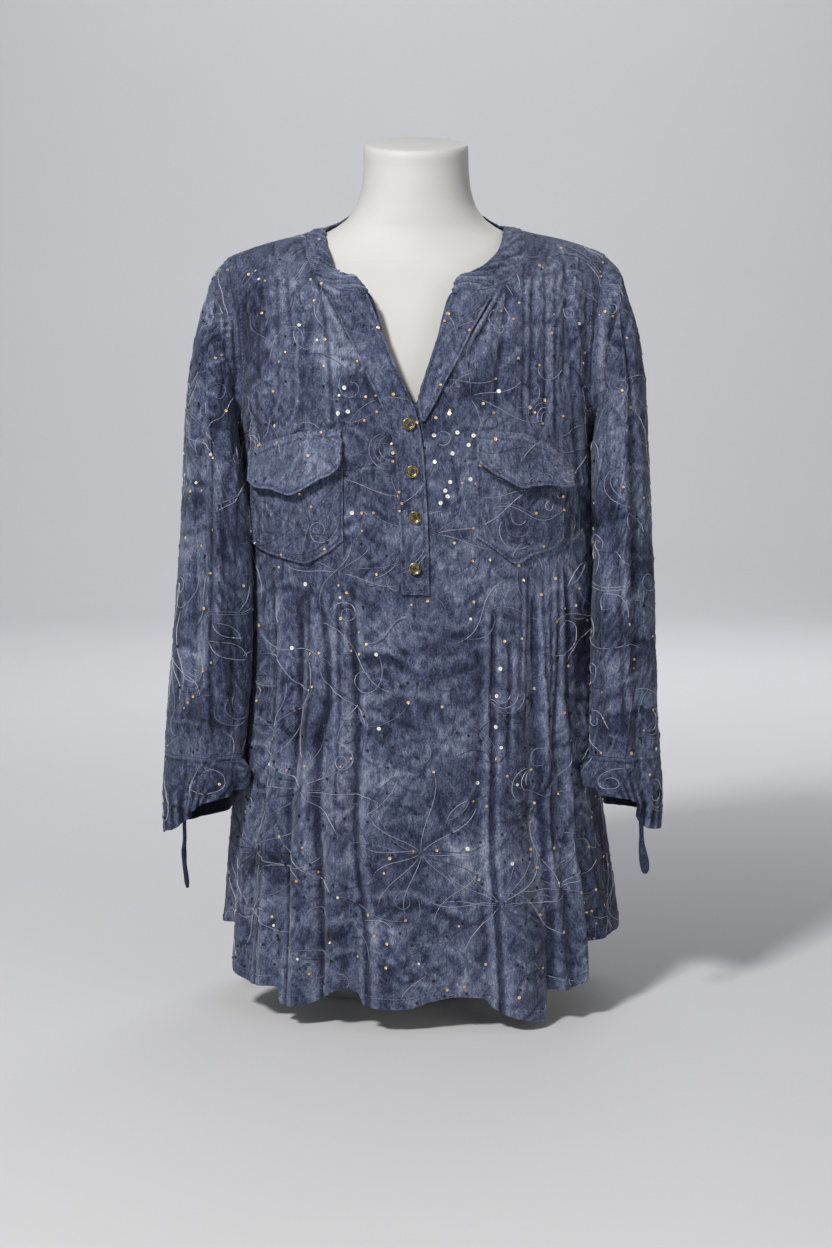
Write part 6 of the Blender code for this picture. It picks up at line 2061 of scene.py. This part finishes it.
def side_stitches(cloth, inset, low=0.0):
    """Stitches that follow both side edges of a cloth at an inset, from a share of its height up."""
    across, up = cloth.flat()
    rows = slice(int(low * len(up)), None)
    right = stitch_line(cloth, (across[:, -1] - inset)[rows], up[rows, -1])
    return right + stitch_line(cloth, (across[:, 0] + inset)[rows], up[rows, 0])


def sew(name, lines, look):
    """A piece's stitches, as one mesh."""
    return add_mesh(f"{name}_stitches", *ridge_mesh(lines), look)


def armhole_stitches(cloth):
    """Stitches beside both armholes of a panel."""
    heights = cloth.points[:, 0, 2]
    return side_stitches(cloth, ARMHOLE_STITCH, float(np.argmax(heights > UNDERARM)) / len(heights))


# ---- Stage, lights and camera ---------------------------------------------------------------------
def make_camera():
    """A camera at the photograph's viewing angle."""
    data = bpy.data.cameras.new("camera")
    data.sensor_fit = "VERTICAL"
    data.sensor_height = SENSOR
    data.lens = FOCAL_PIXELS / PHOTO_HEIGHT * SENSOR
    camera = in_scene("camera", data)
    pitch = math.radians(CAMERA_PITCH)
    camera.location = (0, -CAMERA_DISTANCE * math.cos(pitch), LOOK_AT_Z + CAMERA_DISTANCE * math.sin(pitch))
    camera.rotation_euler = (math.pi / 2 - pitch, 0, 0)
    bpy.context.scene.camera = camera


def make_light(name, place, target, size, watts, colour):
    """A round soft light that faces its target."""
    data = bpy.data.lights.new(name, "AREA")
    data.shape = "DISK"
    data.size, data.energy, data.color = size, watts, colour
    light = in_scene(name, data)
    light.location = place
    light.rotation_euler = (Vector(target) - Vector(place)).to_track_quat("-Z", "Y").to_euler()


def make_floor():
    """A plain pale floor that curves up into a backdrop far behind."""
    look = Look("pale_stage", Roughness=0.9, Specular_IOR_Level=0.1)
    haze = look.noise(look.node("TexCoord")["Object"], 1.3, 3.0)
    look.set(look.shader, Base_Color=look.mix(haze, (*FLOOR_DARK, 1), (*FLOOR_PALE, 1)))
    start = WALL_AWAY - WALL_BEND
    bend = [(start + WALL_BEND * math.sin(turn), WALL_BEND - WALL_BEND * math.cos(turn))
            for turn in np.linspace(0, math.pi / 2, WALL_BEND_STEPS)]
    profile = [(-FLOOR_AHEAD, 0.0), *bend, (WALL_AWAY, WALL_HIGH)]
    points = np.array([[(x, y, z) for x in (-FLOOR_HALF_WIDTH, FLOOR_HALF_WIDTH)] for y, z in profile])
    mesh = bpy.data.meshes.new("floor")
    mesh.from_pydata(points.reshape(-1, 3).tolist(), [], grid_faces(grid_index(len(profile), 2, False)))
    mesh.materials.append(look.material)
    mesh.shade_smooth()
    in_scene("floor", mesh)


def make_stage():
    """The floor, a dim even light from all round, and soft lights."""
    make_floor()
    world = bpy.data.worlds.new("studio")
    world.use_nodes = True
    inputs = world.node_tree.nodes["Background"].inputs
    inputs["Color"].default_value = (*WORLD_COLOUR, 1)
    inputs["Strength"].default_value = WORLD_STRENGTH
    bpy.context.scene.world = world
    for light in LIGHTS:
        make_light(*light)
    bpy.context.scene.view_settings.view_transform = "Standard"


# ---- The whole scene ------------------------------------------------------------------------------
def covered_by(pieces):
    """A test for places on a cloth that one of the given pieces lies over."""
    trees = [tree_of(piece) for piece in pieces]

    def shut(places):
        found = []
        for place in places:
            start = Vector(place) - Vector((0, COVER_START, 0))
            found.append(any(tree.ray_cast(start, Vector((0, -1, 0)), COVER_REACH)[0] for tree in trees))
        return np.array(found)

    return shut


def decorate(name, cloth, seed, looks, shut=None, spacing=MOTIF_SPACING, sprays=()):
    """A cloth's embroidery, and its sequins."""
    ends = embroider(cloth, name, seed, spacing, looks, shut, sprays)
    sew_sequins(name, cloth, seed + 1, ends, looks, shut)


def make_front_pieces(front, looks):
    """What lies on the front: plackets, pockets with their flaps, and buttons."""
    tree = tree_of(front.piece)
    made = {row[0]: make_placket(tree, looks["cloth"], *row) for row in PLACKETS}
    for row in PATCHES:
        made[row[0]] = make_patch(tree, looks["cloth"], *row)
    for number in range(1, BUTTONS + 1):
        make_button(number, looks)
    return made


def trim_front_pieces(small, looks):
    """Embroidery, sequins and stitches of the plackets, pockets and flaps."""
    for seed, (name, cloth) in enumerate(small.items(), start=PATCH_SEED):
        shut = covered_by([small[name.replace("pocket", "flap")].piece]) if "pocket" in name else None
        decorate(name, cloth, seed, looks, shut, spacing=PATCH_MOTIF_SPACING)
        lines = row_stitches(cloth, PATCH_STITCH) + side_stitches(cloth, PATCH_STITCH)
        if "flap" in name:
            lines += row_stitches(cloth, FLAP_STITCH, top=True)
        sew(name, lines, looks["stitch"])


def make_arm(side, sign, route, angle, widths, panels, looks):
    """A sleeve, its cuff and its tie end, with the sleeve's and the cuff's trimmings."""
    sleeve = make_sleeve(f"sleeve_{side}", *panels, sign, looks["cloth"])
    cuff = make_cuff(f"cuff_{side}", sleeve, panels, sign, looks["cloth"])
    decorate(f"sleeve_{side}", sleeve, SLEEVE_SEED + sign, looks)
    decorate(f"cuff_{side}", cuff, CUFF_SEED + sign, looks)
    tie, line = make_tie(f"tie_{side}", cuff, angle, route, widths, sign, looks["cloth"])


def main():
    """The camera and stage, the form, and the garment from its body outwards."""
    make_camera()
    make_stage()
    looks = make_looks()
    make_form(looks["form"])
    front = make_panel("front", FRONT, looks["cloth"])
    back = make_panel("back", BACK, looks["cloth"])
    band = make_neckband(front, back, looks["cloth"])
    small = make_front_pieces(front, looks)
    covers = covered_by([cloth.piece for cloth in small.values()])
    decorate("front", front, FRONT_SEED, looks, covers, sprays=spray_places(front))
    decorate("back", back, BACK_SEED, looks)
    decorate("neckband", band, BAND_SEED, looks, spacing=BAND_MOTIF_SPACING)
    edges = row_stitches(band, BAND_STITCH) + row_stitches(band, BAND_STITCH, top=True)
    sew("neckband", edges, looks["stitch"])
    trim_front_pieces(small, looks)
    sew_big_sequins(front, looks)
    for name, panel in (("front", front), ("back", back)):
        sew(name, row_stitches(panel, HEM_TURN) + armhole_stitches(panel), looks["stitch"])
    make_arm("r", -1, TIE_RIGHT, TIE_RIGHT_ANGLE, TIE_RIGHT_WIDTHS, (front, back), looks)
    make_arm("l", 1, TIE_LEFT, TIE_LEFT_ANGLE, TIE_LEFT_WIDTHS, (front, back), looks)


main()
